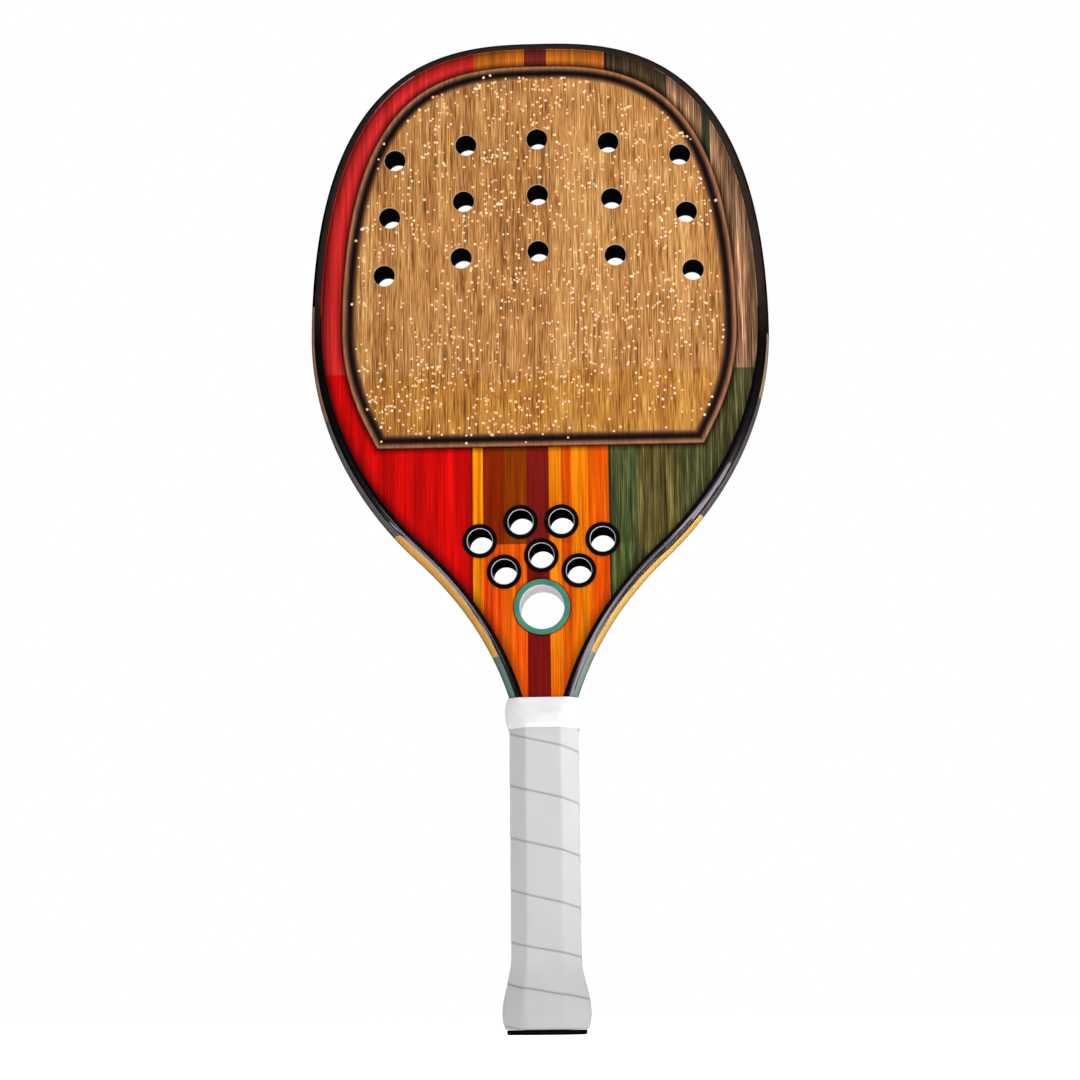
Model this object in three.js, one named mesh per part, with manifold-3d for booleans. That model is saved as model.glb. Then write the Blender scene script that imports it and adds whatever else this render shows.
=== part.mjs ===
import * as THREE from "three";
import { mergeVertices } from "three/addons/utils/BufferGeometryUtils.js";
import Module from "manifold-3d";

const wasm = await Module();
wasm.setup();

// Beach tennis racket, standing on its butt: X across the face, Y through it, Z up.
// The origin is the middle of the butt, and the hitting faces look along -Y and +Y.

// Driving dimensions, in millimetres
const racketLength = 498.5;
const headWidth = 230;
const frameDepth = 22;
const gripTop = 146.5;

// Outline of the frame: a straight leg, the throat, the cheek and the crown, each tangent to the next.
// Heights are shares of the length above the grip, and the curves' pulls are shares of what they span.
const waistHalfWidth = 62.1;
const waistHeightShare = 0.2387;
const widestHeightShare = 0.5668;
const waistAngle = THREE.MathUtils.degToRad(43);
const throatPullShare = 0.062;
const waistPullDownShare = 0.592;
const waistPullUpShare = 0.31;
const cheekPullShare = 0.416;
const crownPullShare = 1;
const crownFlatShare = 0.341;
const throatDrop = 19.5;
const legHalfWidth = 11;
const legBottom = 12;
const throatSteps = 9;
const cheekSteps = 9;
const crownSteps = 16;

// Section of the hollow frame tube, measured inwards from the outline
const frameWall = 1.8;
const rimRound = 5.2;
const rimLip = 0.4;
const shelfWidth = 5;
const rimSteps = 8;
const boreSteps = 4;

// Fits between the pieces
const bondLine = 0.1;
const seatGap = 0.3;

// Core, skins and textured panels
const skinThickness = 1.2;
const skinReach = 0.8;
const coreSetback = 3.5;
const panelThickness = 0.3;
const panelInset = 16.4;
const panelTuck = 2.2;
const panelLift = 1.4;
const panelClearance = 28.4;

// Face holes: rows of five on gentle arcs, each row a little wider than the one above
const faceHoleRadius = 5.35;
const faceHoleMargin = 26.6;
const faceHoleSpread = 1.35;
const faceRowTopDrop = 54.1;
const faceRowDrop = 29.5;
const faceRowArc = 265;
const faceRows = 3;
const faceColumns = 5;
const holeSegments = 14;

// Neck eyelets: three round the port and an arc of four beyond them
const eyeletBore = 6.1;
const eyeletWall = 0.85;
const eyeletBrim = 1.55;
const eyeletLip = 0.5;
const eyeletBevel = 0.3;
const eyeletClearance = 2.9;
const eyeletTurn = THREE.MathUtils.degToRad(46);
const eyeletRowRise = 18;
const eyeletArc = 44;
const eyeletArcClearance = 3.1;
const eyeletArcCount = 4;

// Large port, where the neck has this half width
const portNeckHalfWidth = 39.4;
const portRadius = 11;
const portWall = 1;
const portBrim = 2.05;
const portLip = 0.7;
const portBevel = 0.25;
const portSegments = 28;

// Octagonal grip: moulded pallets round the legs, under the tape
const palletFrontWall = 1.8;
const palletSideWall = 3.3;
const gripCut = 8;
const gripEdge = 1.6;
const gripBottom = 2.5;
const flareRise = 4.6;
const flareTop = 40;
const flarePeak = 9;
const buttTuck = 1.5;
const palletFlareShare = 0.88;
const palletLevels = 8;

// Grip tape: one ribbon wound down the handle, each turn ending just above the next
const tapeThickness = 1.8;
const tapeEdge = 0.5;
const tapeGap = 0.5;
const seamDrop = 3.2;
const seamEnd = 4.3;
const buttPitch = 19.6;
const fullTurns = 4;
const buttTurns = 2;
const tapeSideSteps = 3;

// Elastic collar, from over the tape's upper end to round the frame's throat
const collarLap = 1.2;
const collarReach = 13.8;
const collarWall = 0.8;
const collarBulge = 0.9;
const collarGripGap = 0.65;
const collarThroatGap = 0.4;
const collarThroatRoom = 1;
const collarThroatCut = 4.6;
const collarHold = 1.3;
const collarSteps = 6;

// Butt cap: a rimmed plate with a plug that enters the handle
const capThickness = 2.2;
const capInset = 0.7;
const capRound = 0.9;
const plugReach = 7.8;

const halfDepth = frameDepth / 2;
const headHalfWidth = headWidth / 2;
const shelfDepth = halfDepth - skinThickness - bondLine;
const frameWidth = rimRound + rimLip + shelfWidth;
const waistHeight = THREE.MathUtils.lerp(gripTop, racketLength, waistHeightShare);
const widestHeight = THREE.MathUtils.lerp(gripTop, racketLength, widestHeightShare);
const throatStart = gripTop - throatDrop;
const gripHalfWidth = legHalfWidth + palletSideWall + 2 * seatGap + tapeThickness;
const gripHalfDepth = halfDepth + palletFrontWall + 2 * seatGap + tapeThickness;
const eyeletFlange = eyeletBore + eyeletWall + eyeletBrim;
const portFlange = portRadius + portWall + portBrim;
const collarBottom = gripTop - collarLap;
const collarTop = gripTop + collarReach;
const seamStart = gripTop - seamDrop;
const tapePitch = (seamStart - seamEnd - buttPitch * buttTurns) / fullTurns;
const overrun = 1;

const glossBlack = new THREE.MeshStandardMaterial({ color: 0x0b0b0d, roughness: 0.15, metalness: 0 });
const foamBlack = new THREE.MeshStandardMaterial({ color: 0x17171a, roughness: 0.85, metalness: 0 });
const faceRed = new THREE.MeshStandardMaterial({ color: 0xb8201a, roughness: 0.3, metalness: 0 });
const panelTan = new THREE.MeshStandardMaterial({ color: 0xb98545, roughness: 0.6, metalness: 0 });
const eyeletBlack = new THREE.MeshStandardMaterial({ color: 0x101012, roughness: 0.35, metalness: 0 });
const portWhite = new THREE.MeshStandardMaterial({ color: 0xf2f2f0, roughness: 0.45, metalness: 0 });
const portTeal = new THREE.MeshStandardMaterial({ color: 0x3d8f73, roughness: 0.35, metalness: 0 });
const palletGrey = new THREE.MeshStandardMaterial({ color: 0x2b2b2d, roughness: 0.8, metalness: 0 });
const tapeGrey = new THREE.MeshStandardMaterial({ color: 0xd4d4d6, roughness: 0.7, metalness: 0 });
const collarWhite = new THREE.MeshStandardMaterial({ color: 0xf4f4f4, roughness: 0.65, metalness: 0 });
const capBlack = new THREE.MeshStandardMaterial({ color: 0x0e0e10, roughness: 0.4, metalness: 0 });

const racket = new THREE.Group();

function addPiece(name, geometry, material, x = 0, z = 0) {
  const piece = new THREE.Mesh(geometry, material);
  piece.name = name;
  piece.position.set(x, 0, z);
  racket.add(piece);
  return piece;
}

// A geometry of positions only, its shared corners joined
function welded(geometry) {
  geometry.deleteAttribute("normal");
  geometry.deleteAttribute("uv");
  return mergeVertices(geometry);
}

function signedArea(outline) {
  return THREE.ShapeUtils.area(outline);
}

function signedVolume(points, triangles) {
  let volume = 0;
  for (const [a, b, c] of triangles) {
    volume += points[a].dot(points[b].clone().cross(points[c])) / 6;
  }
  return volume;
}

function closedBody(points, triangles) {
  const outward = signedVolume(points, triangles) > 0;
  const places = points.flatMap((point) => [point.x, point.y, point.z]);
  const geometry = new THREE.BufferGeometry();
  geometry.setAttribute("position", new THREE.Float32BufferAttribute(places, 3));
  geometry.setIndex(triangles.flatMap(([a, b, c]) => (outward ? [a, b, c] : [a, c, b])));
  return geometry;
}

// Triangles of the wall through rings of equal count, the first of them at place start in the point list
function ringWall(start, ringCount, count, inward) {
  const triangles = [];
  for (let ring = 0; ring < ringCount - 1; ring++) {
    for (let i = 0; i < count; i++) {
      const a = start + ring * count + i;
      const b = start + ring * count + ((i + 1) % count);
      triangles.push(inward ? [b, a, b + count] : [a, b, b + count]);
      triangles.push(inward ? [a, a + count, b + count] : [a, b + count, a + count]);
    }
  }
  return triangles;
}

// A body through rings of points, with a bore through it where bore rings are given.
// The outlines are the rings' plane shapes, which the two end caps are cut from.
function loft(rings, outline, boreRings = [], boreOutline = []) {
  const points = [...rings.flat(), ...boreRings.flat()];
  const boreStart = rings.length * outline.length;
  const triangles = [
    ...ringWall(0, rings.length, outline.length, false),
    ...ringWall(boreStart, boreRings.length, boreOutline.length, true),
  ];
  const turn = Math.sign(signedArea(outline));
  const holes = boreRings.length ? [boreOutline] : [];
  const flat = [...outline, ...boreOutline];
  for (const cap of THREE.ShapeUtils.triangulateShape([...outline], holes)) {
    const same = Math.sign(signedArea(cap.map((i) => flat[i]))) === turn;
    const [a, b, c] = same ? cap : [cap[0], cap[2], cap[1]];
    const first = (i) => (i < outline.length ? i : boreStart + i - outline.length);
    const last = (i) =>
      i < outline.length
        ? (rings.length - 1) * outline.length + i
        : boreStart + (boreRings.length - 1) * boreOutline.length + i - outline.length;
    triangles.push([first(a), first(c), first(b)]);
    triangles.push([last(a), last(b), last(c)]);
  }
  return closedBody(points, triangles);
}

function toSolid(geometry) {
  return new wasm.Manifold(
    new wasm.Mesh({
      numProp: 3,
      vertProperties: new Float32Array(geometry.attributes.position.array),
      triVerts: new Uint32Array(geometry.index.array),
    }),
  );
}

function toGeometry(solid) {
  const mesh = solid.getMesh();
  const geometry = new THREE.BufferGeometry();
  geometry.setAttribute("position", new THREE.BufferAttribute(new Float32Array(mesh.vertProperties), 3));
  geometry.setIndex(new THREE.BufferAttribute(new Uint32Array(mesh.triVerts), 1));
  return geometry;
}

// Right half of the frame's outline, from the foot of the leg to the crown, with its outward normals
function sampleOutline() {
  const slope = new THREE.Vector2(Math.cos(waistAngle), Math.sin(waistAngle));
  const waist = new THREE.Vector2(waistHalfWidth, waistHeight);
  const widest = new THREE.Vector2(headHalfWidth, widestHeight);
  const legTop = new THREE.Vector2(legHalfWidth, throatStart);
  const throatSpan = legTop.distanceTo(waist);
  const cheekRise = widestHeight - waistHeight;
  const crownRise = racketLength - widestHeight;
  const curves = [
    [new THREE.LineCurve(new THREE.Vector2(legHalfWidth, legBottom), legTop), 1],
    [
      new THREE.CubicBezierCurve(
        legTop,
        new THREE.Vector2(legHalfWidth, throatStart + throatPullShare * throatSpan),
        waist.clone().addScaledVector(slope, -waistPullDownShare * throatSpan),
        waist,
      ),
      throatSteps,
    ],
    [
      new THREE.CubicBezierCurve(
        waist,
        waist.clone().addScaledVector(slope, waistPullUpShare * waist.distanceTo(widest)),
        new THREE.Vector2(headHalfWidth, widestHeight - cheekPullShare * cheekRise),
        widest,
      ),
      cheekSteps,
    ],
    [
      new THREE.CubicBezierCurve(
        widest,
        new THREE.Vector2(headHalfWidth, widestHeight + crownPullShare * crownRise),
        new THREE.Vector2(crownFlatShare * headHalfWidth, racketLength),
        new THREE.Vector2(0, racketLength),
      ),
      crownSteps,
    ],
  ];
  const samples = [];
  for (const [curve, steps] of curves) {
    for (let i = samples.length ? 1 : 0; i <= steps; i++) {
      const point = curve.getPoint(i / steps);
      const tangent = curve.getTangent(i / steps);
      samples.push({ point, normal: new THREE.Vector2(tangent.y, -tangent.x) });
    }
  }
  return samples;
}

const halfOutline = sampleOutline();

function mirrored(sample) {
  return {
    point: new THREE.Vector2(-sample.point.x, sample.point.y),
    normal: new THREE.Vector2(-sample.normal.x, sample.normal.y),
  };
}

// Half width of the frame at a height on its leg or throat
function halfWidthAt(height) {
  const above = halfOutline.findIndex(({ point }) => point.y >= height);
  if (above <= 0) {
    return legHalfWidth;
  }
  const [low, high] = [halfOutline[above - 1].point, halfOutline[above].point];
  return THREE.MathUtils.mapLinear(height, low.y, high.y, low.x, high.x);
}

// Height at which the frame's throat reaches a half width
function heightOfHalfWidth(halfWidth) {
  const beyond = halfOutline.findIndex(({ point }) => point.x >= halfWidth);
  const [low, high] = [halfOutline[beyond - 1].point, halfOutline[beyond].point];
  return THREE.MathUtils.mapLinear(halfWidth, low.x, high.x, low.y, high.y);
}

const portHeight = heightOfHalfWidth(portNeckHalfWidth);
const eyeletRowHeight = portHeight + portFlange + eyeletClearance + eyeletFlange + eyeletRowRise;
const panelBottom = eyeletRowHeight + eyeletFlange + panelClearance;

// The outline drawn in by an inset that may change with height, cut square at its lower end
function insetOutline(insetAt, tail) {
  const drawnIn = ({ point, normal }) => point.clone().addScaledVector(normal, -insetAt(point.y));
  const right = halfOutline.map(drawnIn);
  const first = right.findIndex((point) => point.y > tail);
  const [low, high] = [right[first - 1], right[first]];
  const tailHalfWidth = THREE.MathUtils.mapLinear(tail, low.y, high.y, low.x, high.x);
  const kept = [new THREE.Vector2(tailHalfWidth, tail), ...right.slice(first, -1)];
  const crown = new THREE.Vector2(0, right.at(-1).y);
  const left = kept.map((point) => new THREE.Vector2(-point.x, point.y)).reverse();
  return [...kept, crown, ...left];
}

// Section of the frame: x is measured inwards from the outline, y from the middle plane
function rimSection() {
  const section = [];
  for (let i = 0; i <= rimSteps; i++) {
    const angle = Math.PI * (i / rimSteps - 0.5);
    section.push(new THREE.Vector2(rimRound * (1 - Math.cos(angle)), halfDepth * Math.sin(angle)));
  }
  const shelfStart = rimRound + rimLip;
  section.push(new THREE.Vector2(shelfStart, halfDepth));
  section.push(new THREE.Vector2(shelfStart, shelfDepth));
  section.push(new THREE.Vector2(frameWidth, shelfDepth));
  section.push(new THREE.Vector2(frameWidth, -shelfDepth));
  section.push(new THREE.Vector2(shelfStart, -shelfDepth));
  section.push(new THREE.Vector2(shelfStart, -halfDepth));
  return section;
}

function boreSection() {
  const boreHalfDepth = shelfDepth - frameWall;
  const boreRound = rimRound - frameWall;
  const section = [];
  for (let i = 0; i <= boreSteps; i++) {
    const angle = Math.PI * (i / boreSteps - 0.5);
    section.push(
      new THREE.Vector2(frameWall + boreRound * (1 - Math.cos(angle)), boreHalfDepth * Math.sin(angle)),
    );
  }
  section.push(new THREE.Vector2(frameWidth - frameWall, boreHalfDepth));
  section.push(new THREE.Vector2(frameWidth - frameWall, -boreHalfDepth));
  return section;
}

// One hollow tube: up the right leg, round the head and down the left leg, open at both feet
function makeFrame() {
  const path = [...halfOutline, ...halfOutline.slice(0, -1).map(mirrored).reverse()];
  const sweep = (section) =>
    path.map(({ point, normal }) =>
      section.map((s) => new THREE.Vector3(point.x - normal.x * s.x, s.y, point.y - normal.y * s.x)),
    );
  const section = rimSection();
  const bore = boreSection();
  addPiece("frame", loft(sweep(section), section, sweep(bore), bore), glossBlack);
}

// Centres of the holes through the hitting zone
function faceHoleCentres() {
  const centres = [];
  const halfSpan = headHalfWidth - panelInset - faceHoleMargin;
  const faceHoleSpacing = (2 * halfSpan) / (faceColumns - 1);
  for (let row = 0; row < faceRows; row++) {
    for (let column = 0; column < faceColumns; column++) {
      const x = (column - (faceColumns - 1) / 2) * (faceHoleSpacing + faceHoleSpread * row);
      const z = racketLength - faceRowTopDrop - faceRowDrop * row - (x * x) / (2 * faceRowArc);
      centres.push(new THREE.Vector2(x, z));
    }
  }
  return centres;
}

function eyeletCentres() {
  const centres = [];
  const spacing = 2 * eyeletFlange + eyeletArcClearance;
  for (let i = 0; i < eyeletArcCount; i++) {
    const x = (i - (eyeletArcCount - 1) / 2) * spacing;
    centres.push(new THREE.Vector2(x, eyeletRowHeight - (x * x) / (2 * eyeletArc)));
  }
  const reach = portFlange + eyeletClearance + eyeletFlange;
  for (const turn of [0, eyeletTurn, -eyeletTurn]) {
    centres.push(new THREE.Vector2(-reach * Math.sin(turn), portHeight + reach * Math.cos(turn)));
  }
  return centres;
}

const faceHoles = faceHoleCentres();
const eyelets = eyeletCentres();
const eyeletSeat = eyeletBore + eyeletWall + seatGap;
const portSeat = portRadius + portWall + seatGap;

function roundHole(centre, radius, segments) {
  const points = [];
  for (let i = 0; i < segments; i++) {
    const angle = (-2 * Math.PI * i) / segments;
    points.push(new THREE.Vector2(centre.x + radius * Math.cos(angle), centre.y + radius * Math.sin(angle)));
  }
  return new THREE.Path(points);
}

// A flat plate in the face's plane, its thickness running from y towards +Y
function makePlate(outline, holes, y, thickness) {
  const shape = new THREE.Shape(outline);
  shape.holes.push(...holes);
  const geometry = new THREE.ExtrudeGeometry(shape, { depth: thickness, bevelEnabled: false });
  geometry.rotateX(Math.PI / 2);
  geometry.translate(0, y + thickness, 0);
  return welded(geometry);
}

function headHoles() {
  return [
    ...faceHoles.map((centre) => roundHole(centre, faceHoleRadius, holeSegments)),
    ...eyelets.map((centre) => roundHole(centre, eyeletSeat, holeSegments)),
    roundHole(new THREE.Vector2(0, portHeight), portSeat, portSegments),
  ];
}

function makeCore() {
  const outline = insetOutline(() => frameWidth + seatGap, gripTop + coreSetback);
  addPiece("core", makePlate(outline, headHoles(), -shelfDepth, 2 * shelfDepth), foamBlack);
}

function makeSkins() {
  const outline = insetOutline(() => rimRound + rimLip + seatGap, gripTop + skinReach);
  const inner = shelfDepth + bondLine;
  const holes = headHoles();
  addPiece("front_skin", makePlate(outline, holes, -inner - skinThickness, skinThickness), faceRed);
  addPiece("rear_skin", makePlate(outline, holes, inner, skinThickness), faceRed);
}

// Textured hitting zone: follows the head, closer at the crown, and tucks in towards a straight lower edge
function makePanels() {
  const insetAt = (height) => {
    const below = THREE.MathUtils.clamp((widestHeight - height) / (widestHeight - panelBottom), 0, 1);
    const above = THREE.MathUtils.clamp((height - widestHeight) / (racketLength - widestHeight), 0, 1);
    return panelInset + panelTuck * below * below - panelLift * above * above;
  };
  const outline = insetOutline(insetAt, panelBottom);
  const holes = faceHoles.map((centre) => roundHole(centre, faceHoleRadius, holeSegments));
  const inner = halfDepth + bondLine;
  addPiece("front_panel", makePlate(outline, holes, -inner - panelThickness, panelThickness), panelTan);
  addPiece("rear_panel", makePlate(outline, holes, inner, panelThickness), panelTan);
}

function makeEyelets() {
  const barrel = eyeletBore + eyeletWall;
  const under = halfDepth + bondLine;
  const over = under + eyeletLip;
  const profile = [
    [eyeletBore, -over + eyeletBevel],
    [eyeletBore + eyeletBevel, -over],
    [eyeletFlange, -over],
    [eyeletFlange, -under],
    [barrel, -under],
    [barrel, under],
    [eyeletFlange, under],
    [eyeletFlange, over],
    [eyeletBore + eyeletBevel, over],
    [eyeletBore, over - eyeletBevel],
    [eyeletBore, -over + eyeletBevel],
  ].map(([r, y]) => new THREE.Vector2(r, y));
  eyelets.forEach((centre, i) => {
    const geometry = welded(new THREE.LatheGeometry(profile, holeSegments));
    addPiece(`neck_eyelet_${i + 1}`, geometry, eyeletBlack, centre.x, centre.y);
  });
}

// White liner through the neck with a coloured ring seated on each face
function makePort() {
  const under = halfDepth + bondLine;
  const over = under + portLip;
  const outer = portRadius + portWall;
  const liner = [
    [portRadius, -halfDepth],
    [outer, -halfDepth],
    [outer, halfDepth],
    [portRadius, halfDepth],
    [portRadius, -halfDepth],
  ].map(([r, y]) => new THREE.Vector2(r, y));
  addPiece("port_liner", welded(new THREE.LatheGeometry(liner, portSegments)), portWhite, 0, portHeight);
  for (const [name, side] of [["port_ring_front", -1], ["port_ring_rear", 1]]) {
    const ring = [
      [portRadius, under],
      [portFlange, under],
      [portFlange, over - portBevel],
      [portFlange - portBevel, over],
      [portRadius + portBevel, over],
      [portRadius, over - portBevel],
      [portRadius, under],
    ].map(([r, y]) => new THREE.Vector2(r, side * y));
    if (side < 0) {
      ring.reverse();
    }
    addPiece(name, welded(new THREE.LatheGeometry(ring, portSegments)), portTeal, 0, portHeight);
  }
}

// How far the butt's flare stands out beyond the straight grip
function flareAt(height) {
  if (height >= flareTop) {
    return 0;
  }
  if (height >= flarePeak) {
    return (flareRise * (1 + Math.cos((Math.PI * (height - flarePeak)) / (flareTop - flarePeak)))) / 2;
  }
  const share = (flarePeak - height) / (flarePeak - gripBottom);
  return flareRise - buttTuck * share * share;
}

// Octagon with softened edges
function octagon(halfWidth, halfThrough, cut) {
  const corners = [
    [-halfWidth, cut - halfThrough],
    [cut - halfWidth, -halfThrough],
    [halfWidth - cut, -halfThrough],
    [halfWidth, cut - halfThrough],
    [halfWidth, halfThrough - cut],
    [halfWidth - cut, halfThrough],
    [cut - halfWidth, halfThrough],
    [-halfWidth, halfThrough - cut],
  ].map(([x, y]) => new THREE.Vector2(x, y));
  return corners.flatMap((corner, i) => {
    const back = corners[(i + corners.length - 1) % corners.length].clone().sub(corner).setLength(gripEdge);
    const ahead = corners[(i + 1) % corners.length].clone().sub(corner).setLength(gripEdge);
    return [corner.clone().add(back), corner.clone().add(ahead)];
  });
}

// The cut at an octagon's corners after all its sides have moved out alike
function grownCut(cut, growth) {
  return cut + growth * (2 - Math.SQRT2);
}

// Section of the grip, drawn in evenly from the tape's outer surface
function gripOutline(inset, flare = 0) {
  const growth = flare - inset;
  return octagon(gripHalfWidth + growth, gripHalfDepth + growth, grownCut(gripCut, growth));
}

function ringAt(outline, height) {
  return outline.map((point) => new THREE.Vector3(point.x, point.y, height));
}

// Outline of the two legs side by side, grown by a clearance
function shaftOutline(halfWidth, clearance) {
  const outline = [];
  for (const side of [1, -1]) {
    for (let i = 0; i <= rimSteps; i++) {
      const angle = Math.PI * (i / rimSteps - 0.5);
      const x = halfWidth + clearance - rimRound * (1 - Math.cos(angle));
      outline.push(new THREE.Vector2(side * x, side * (halfDepth + clearance) * Math.sin(angle)));
    }
  }
  return outline;
}

// Two moulded halves round the legs, flared at the butt and parted on the middle plane
function makePallets() {
  const inset = tapeThickness + seatGap;
  const heights = [];
  for (let i = 0; i <= palletLevels; i++) {
    heights.push(THREE.MathUtils.lerp(gripBottom, flareTop, i / palletLevels));
  }
  heights.push(gripTop);
  const rings = heights.map((height) => {
    const flare = palletFlareShare * flareAt(height);
    return ringAt(gripOutline(inset, flare), height);
  });
  const outlineHeights = halfOutline.map(({ point }) => point.y);
  const channelHeights = outlineHeights.filter((height) => height >= throatStart && height < gripTop);
  const channel = [gripBottom - overrun, ...channelHeights, gripTop + overrun].map((height) =>
    ringAt(shaftOutline(halfWidthAt(height), seatGap), height),
  );
  const body = toSolid(loft(rings, gripOutline(inset))).subtract(
    toSolid(loft(channel, shaftOutline(legHalfWidth, seatGap))),
  );
  const reach = Math.max(gripHalfWidth, gripHalfDepth) + flareRise + overrun;
  for (const [name, side] of [["handle_pallet_front", -1], ["handle_pallet_rear", 1]]) {
    const half = new THREE.BoxGeometry(2 * reach, reach, gripTop + 2 * overrun);
    half.translate(0, (side * (reach + seatGap)) / 2, gripTop / 2);
    addPiece(name, toGeometry(body.intersect(toSolid(welded(half)))), palletGrey);
  }
}

// Height of the tape's upper edge, by turns from the top of the grip
function seamHeight(turn) {
  const full = Math.min(turn, fullTurns);
  return seamStart - tapePitch * full - buttPitch * Math.max(0, turn - fullTurns);
}

function clampToGrip(height) {
  return THREE.MathUtils.clamp(height, gripBottom, gripTop);
}

// One section of the ribbon where it crosses an edge of the grip
function tapeSection(corner, turn) {
  const low = clampToGrip(seamHeight(turn + 1) + tapeGap);
  const high = clampToGrip(seamHeight(turn));
  const section = [];
  for (let i = 0; i <= tapeSideSteps; i++) {
    const height = THREE.MathUtils.lerp(low, high, i / tapeSideSteps);
    const spot = gripOutline(tapeThickness, flareAt(height))[corner];
    section.push(new THREE.Vector3(spot.x, spot.y, height));
  }
  for (let i = tapeSideSteps; i >= 0; i--) {
    const height = THREE.MathUtils.lerp(low, high, i / tapeSideSteps);
    const edge = i === 0 || i === tapeSideSteps ? tapeEdge : 0;
    const spot = gripOutline(edge, flareAt(height))[corner];
    section.push(new THREE.Vector3(spot.x, spot.y, height));
  }
  return section;
}

// Least distance from the ribbon's lower edge to the upper edge of the next turn
function leastTapeGap(sections, corners) {
  let least = Infinity;
  const upper = (section) => [section[tapeSideSteps], section[tapeSideSteps + 1]];
  const lower = (section) => [section[0], section.at(-1)];
  for (let i = 0; i + corners + 1 < sections.length; i++) {
    for (const side of [0, 1]) {
      const start = upper(sections[i + corners])[side];
      const end = upper(sections[i + corners + 1])[side];
      const edge = new THREE.Line3(start, end);
      for (const point of [lower(sections[i])[side], lower(sections[i + 1])[side]]) {
        const nearest = edge.closestPointToPoint(point, true, new THREE.Vector3());
        least = Math.min(least, nearest.distanceTo(point));
      }
    }
  }
  return least;
}

function makeTape() {
  const outline = gripOutline(0);
  const corners = outline.length;
  const runLengths = [0];
  for (let i = 0; i < corners; i++) {
    runLengths.push(runLengths[i] + outline[i].distanceTo(outline[(i + 1) % corners]));
  }
  const girth = runLengths[corners];
  const sections = [];
  for (let i = -corners; i <= (fullTurns + buttTurns) * corners; i++) {
    const corner = (i + corners) % corners;
    sections.push(tapeSection(corner, Math.floor(i / corners) + runLengths[corner] / girth));
  }
  const flat = [];
  for (let i = 0; i <= tapeSideSteps; i++) {
    flat.push(new THREE.Vector2(0, i));
  }
  for (let i = tapeSideSteps; i >= 0; i--) {
    flat.push(new THREE.Vector2(1, i));
  }
  addPiece("grip_tape", loft(sections, flat), tapeGrey);
  console.log(`grip tape: least gap between turns ${leastTapeGap(sections, corners).toFixed(3)} mm`);
}

// The collar's inner outline at a height, from the tape's size to the throat's, grown by its wall
function collarOutline(height, growth) {
  const share = THREE.MathUtils.smoothstep(height, gripTop + collarHold, collarTop);
  const throatHalfWidth = halfWidthAt(collarTop) + collarThroatGap;
  const throatHalfThrough = halfDepth + collarThroatRoom;
  const halfWidth = THREE.MathUtils.lerp(gripHalfWidth + collarGripGap, throatHalfWidth, share);
  const halfThrough = THREE.MathUtils.lerp(gripHalfDepth + collarGripGap, throatHalfThrough, share);
  const cut = THREE.MathUtils.lerp(grownCut(gripCut, collarGripGap), collarThroatCut, share);
  return octagon(halfWidth + growth, halfThrough + growth, grownCut(cut, growth));
}

function makeCollar() {
  const rings = [];
  const boreRings = [];
  for (let i = 0; i <= collarSteps; i++) {
    const share = i / collarSteps;
    const height = THREE.MathUtils.lerp(collarBottom, collarTop, share);
    const growth = collarWall + collarBulge * Math.sin(Math.PI * share);
    rings.push(ringAt(collarOutline(height, growth), height));
    boreRings.push(ringAt(collarOutline(height, 0), height));
  }
  const outline = collarOutline(collarBottom, collarWall);
  addPiece("grip_collar", loft(rings, outline, boreRings, collarOutline(collarBottom, 0)), collarWhite);
}

function makeButtCap() {
  const flare = flareAt(gripBottom);
  const outline = gripOutline(capInset, flare);
  const plate = [
    ringAt(gripOutline(capInset + capRound, flare), 0),
    ringAt(outline, capRound),
    ringAt(outline, capThickness),
  ];
  const plugOutline = shaftOutline(legHalfWidth, 0);
  const plug = [ringAt(plugOutline, capThickness - overrun), ringAt(plugOutline, capThickness + plugReach)];
  const cap = toSolid(loft(plate, outline)).add(toSolid(loft(plug, plugOutline)));
  addPiece("butt_cap", toGeometry(cap), capBlack);
}

makeFrame();
makeCore();
makeSkins();
makePanels();
makeEyelets();
makePort();
makePallets();
makeTape();
makeCollar();
makeButtCap();

export default racket;
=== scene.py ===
import math
import random
from functools import partial

import bmesh
import bpy
from mathutils import Matrix, Vector, noise
from mathutils.geometry import delaunay_2d_cdt, interpolate_bezier


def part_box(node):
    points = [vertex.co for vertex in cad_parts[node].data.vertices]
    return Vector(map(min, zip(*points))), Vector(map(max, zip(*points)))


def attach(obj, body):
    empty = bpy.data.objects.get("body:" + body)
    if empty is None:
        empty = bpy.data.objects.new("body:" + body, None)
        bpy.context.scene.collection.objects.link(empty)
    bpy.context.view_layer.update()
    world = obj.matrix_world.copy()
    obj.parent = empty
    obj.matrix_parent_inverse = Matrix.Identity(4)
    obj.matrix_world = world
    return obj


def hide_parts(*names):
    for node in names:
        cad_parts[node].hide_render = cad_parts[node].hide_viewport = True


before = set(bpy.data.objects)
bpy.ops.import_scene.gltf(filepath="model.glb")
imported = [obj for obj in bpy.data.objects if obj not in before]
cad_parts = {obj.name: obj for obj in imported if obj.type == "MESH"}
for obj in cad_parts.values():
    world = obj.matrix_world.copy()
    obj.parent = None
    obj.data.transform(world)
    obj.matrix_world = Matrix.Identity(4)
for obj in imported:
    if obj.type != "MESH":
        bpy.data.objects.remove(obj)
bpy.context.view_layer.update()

mm = 0.001
print("frame loaded:", len(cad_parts), "nodes")


# Colours and nodes

def linear(hexColour):
    channels = [int(hexColour[i:i + 2], 16) / 255 for i in (1, 3, 5)]
    return [c / 12.92 if c <= 0.04045 else ((c + 0.055) / 1.055) ** 2.4 for c in channels] + [1]


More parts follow.
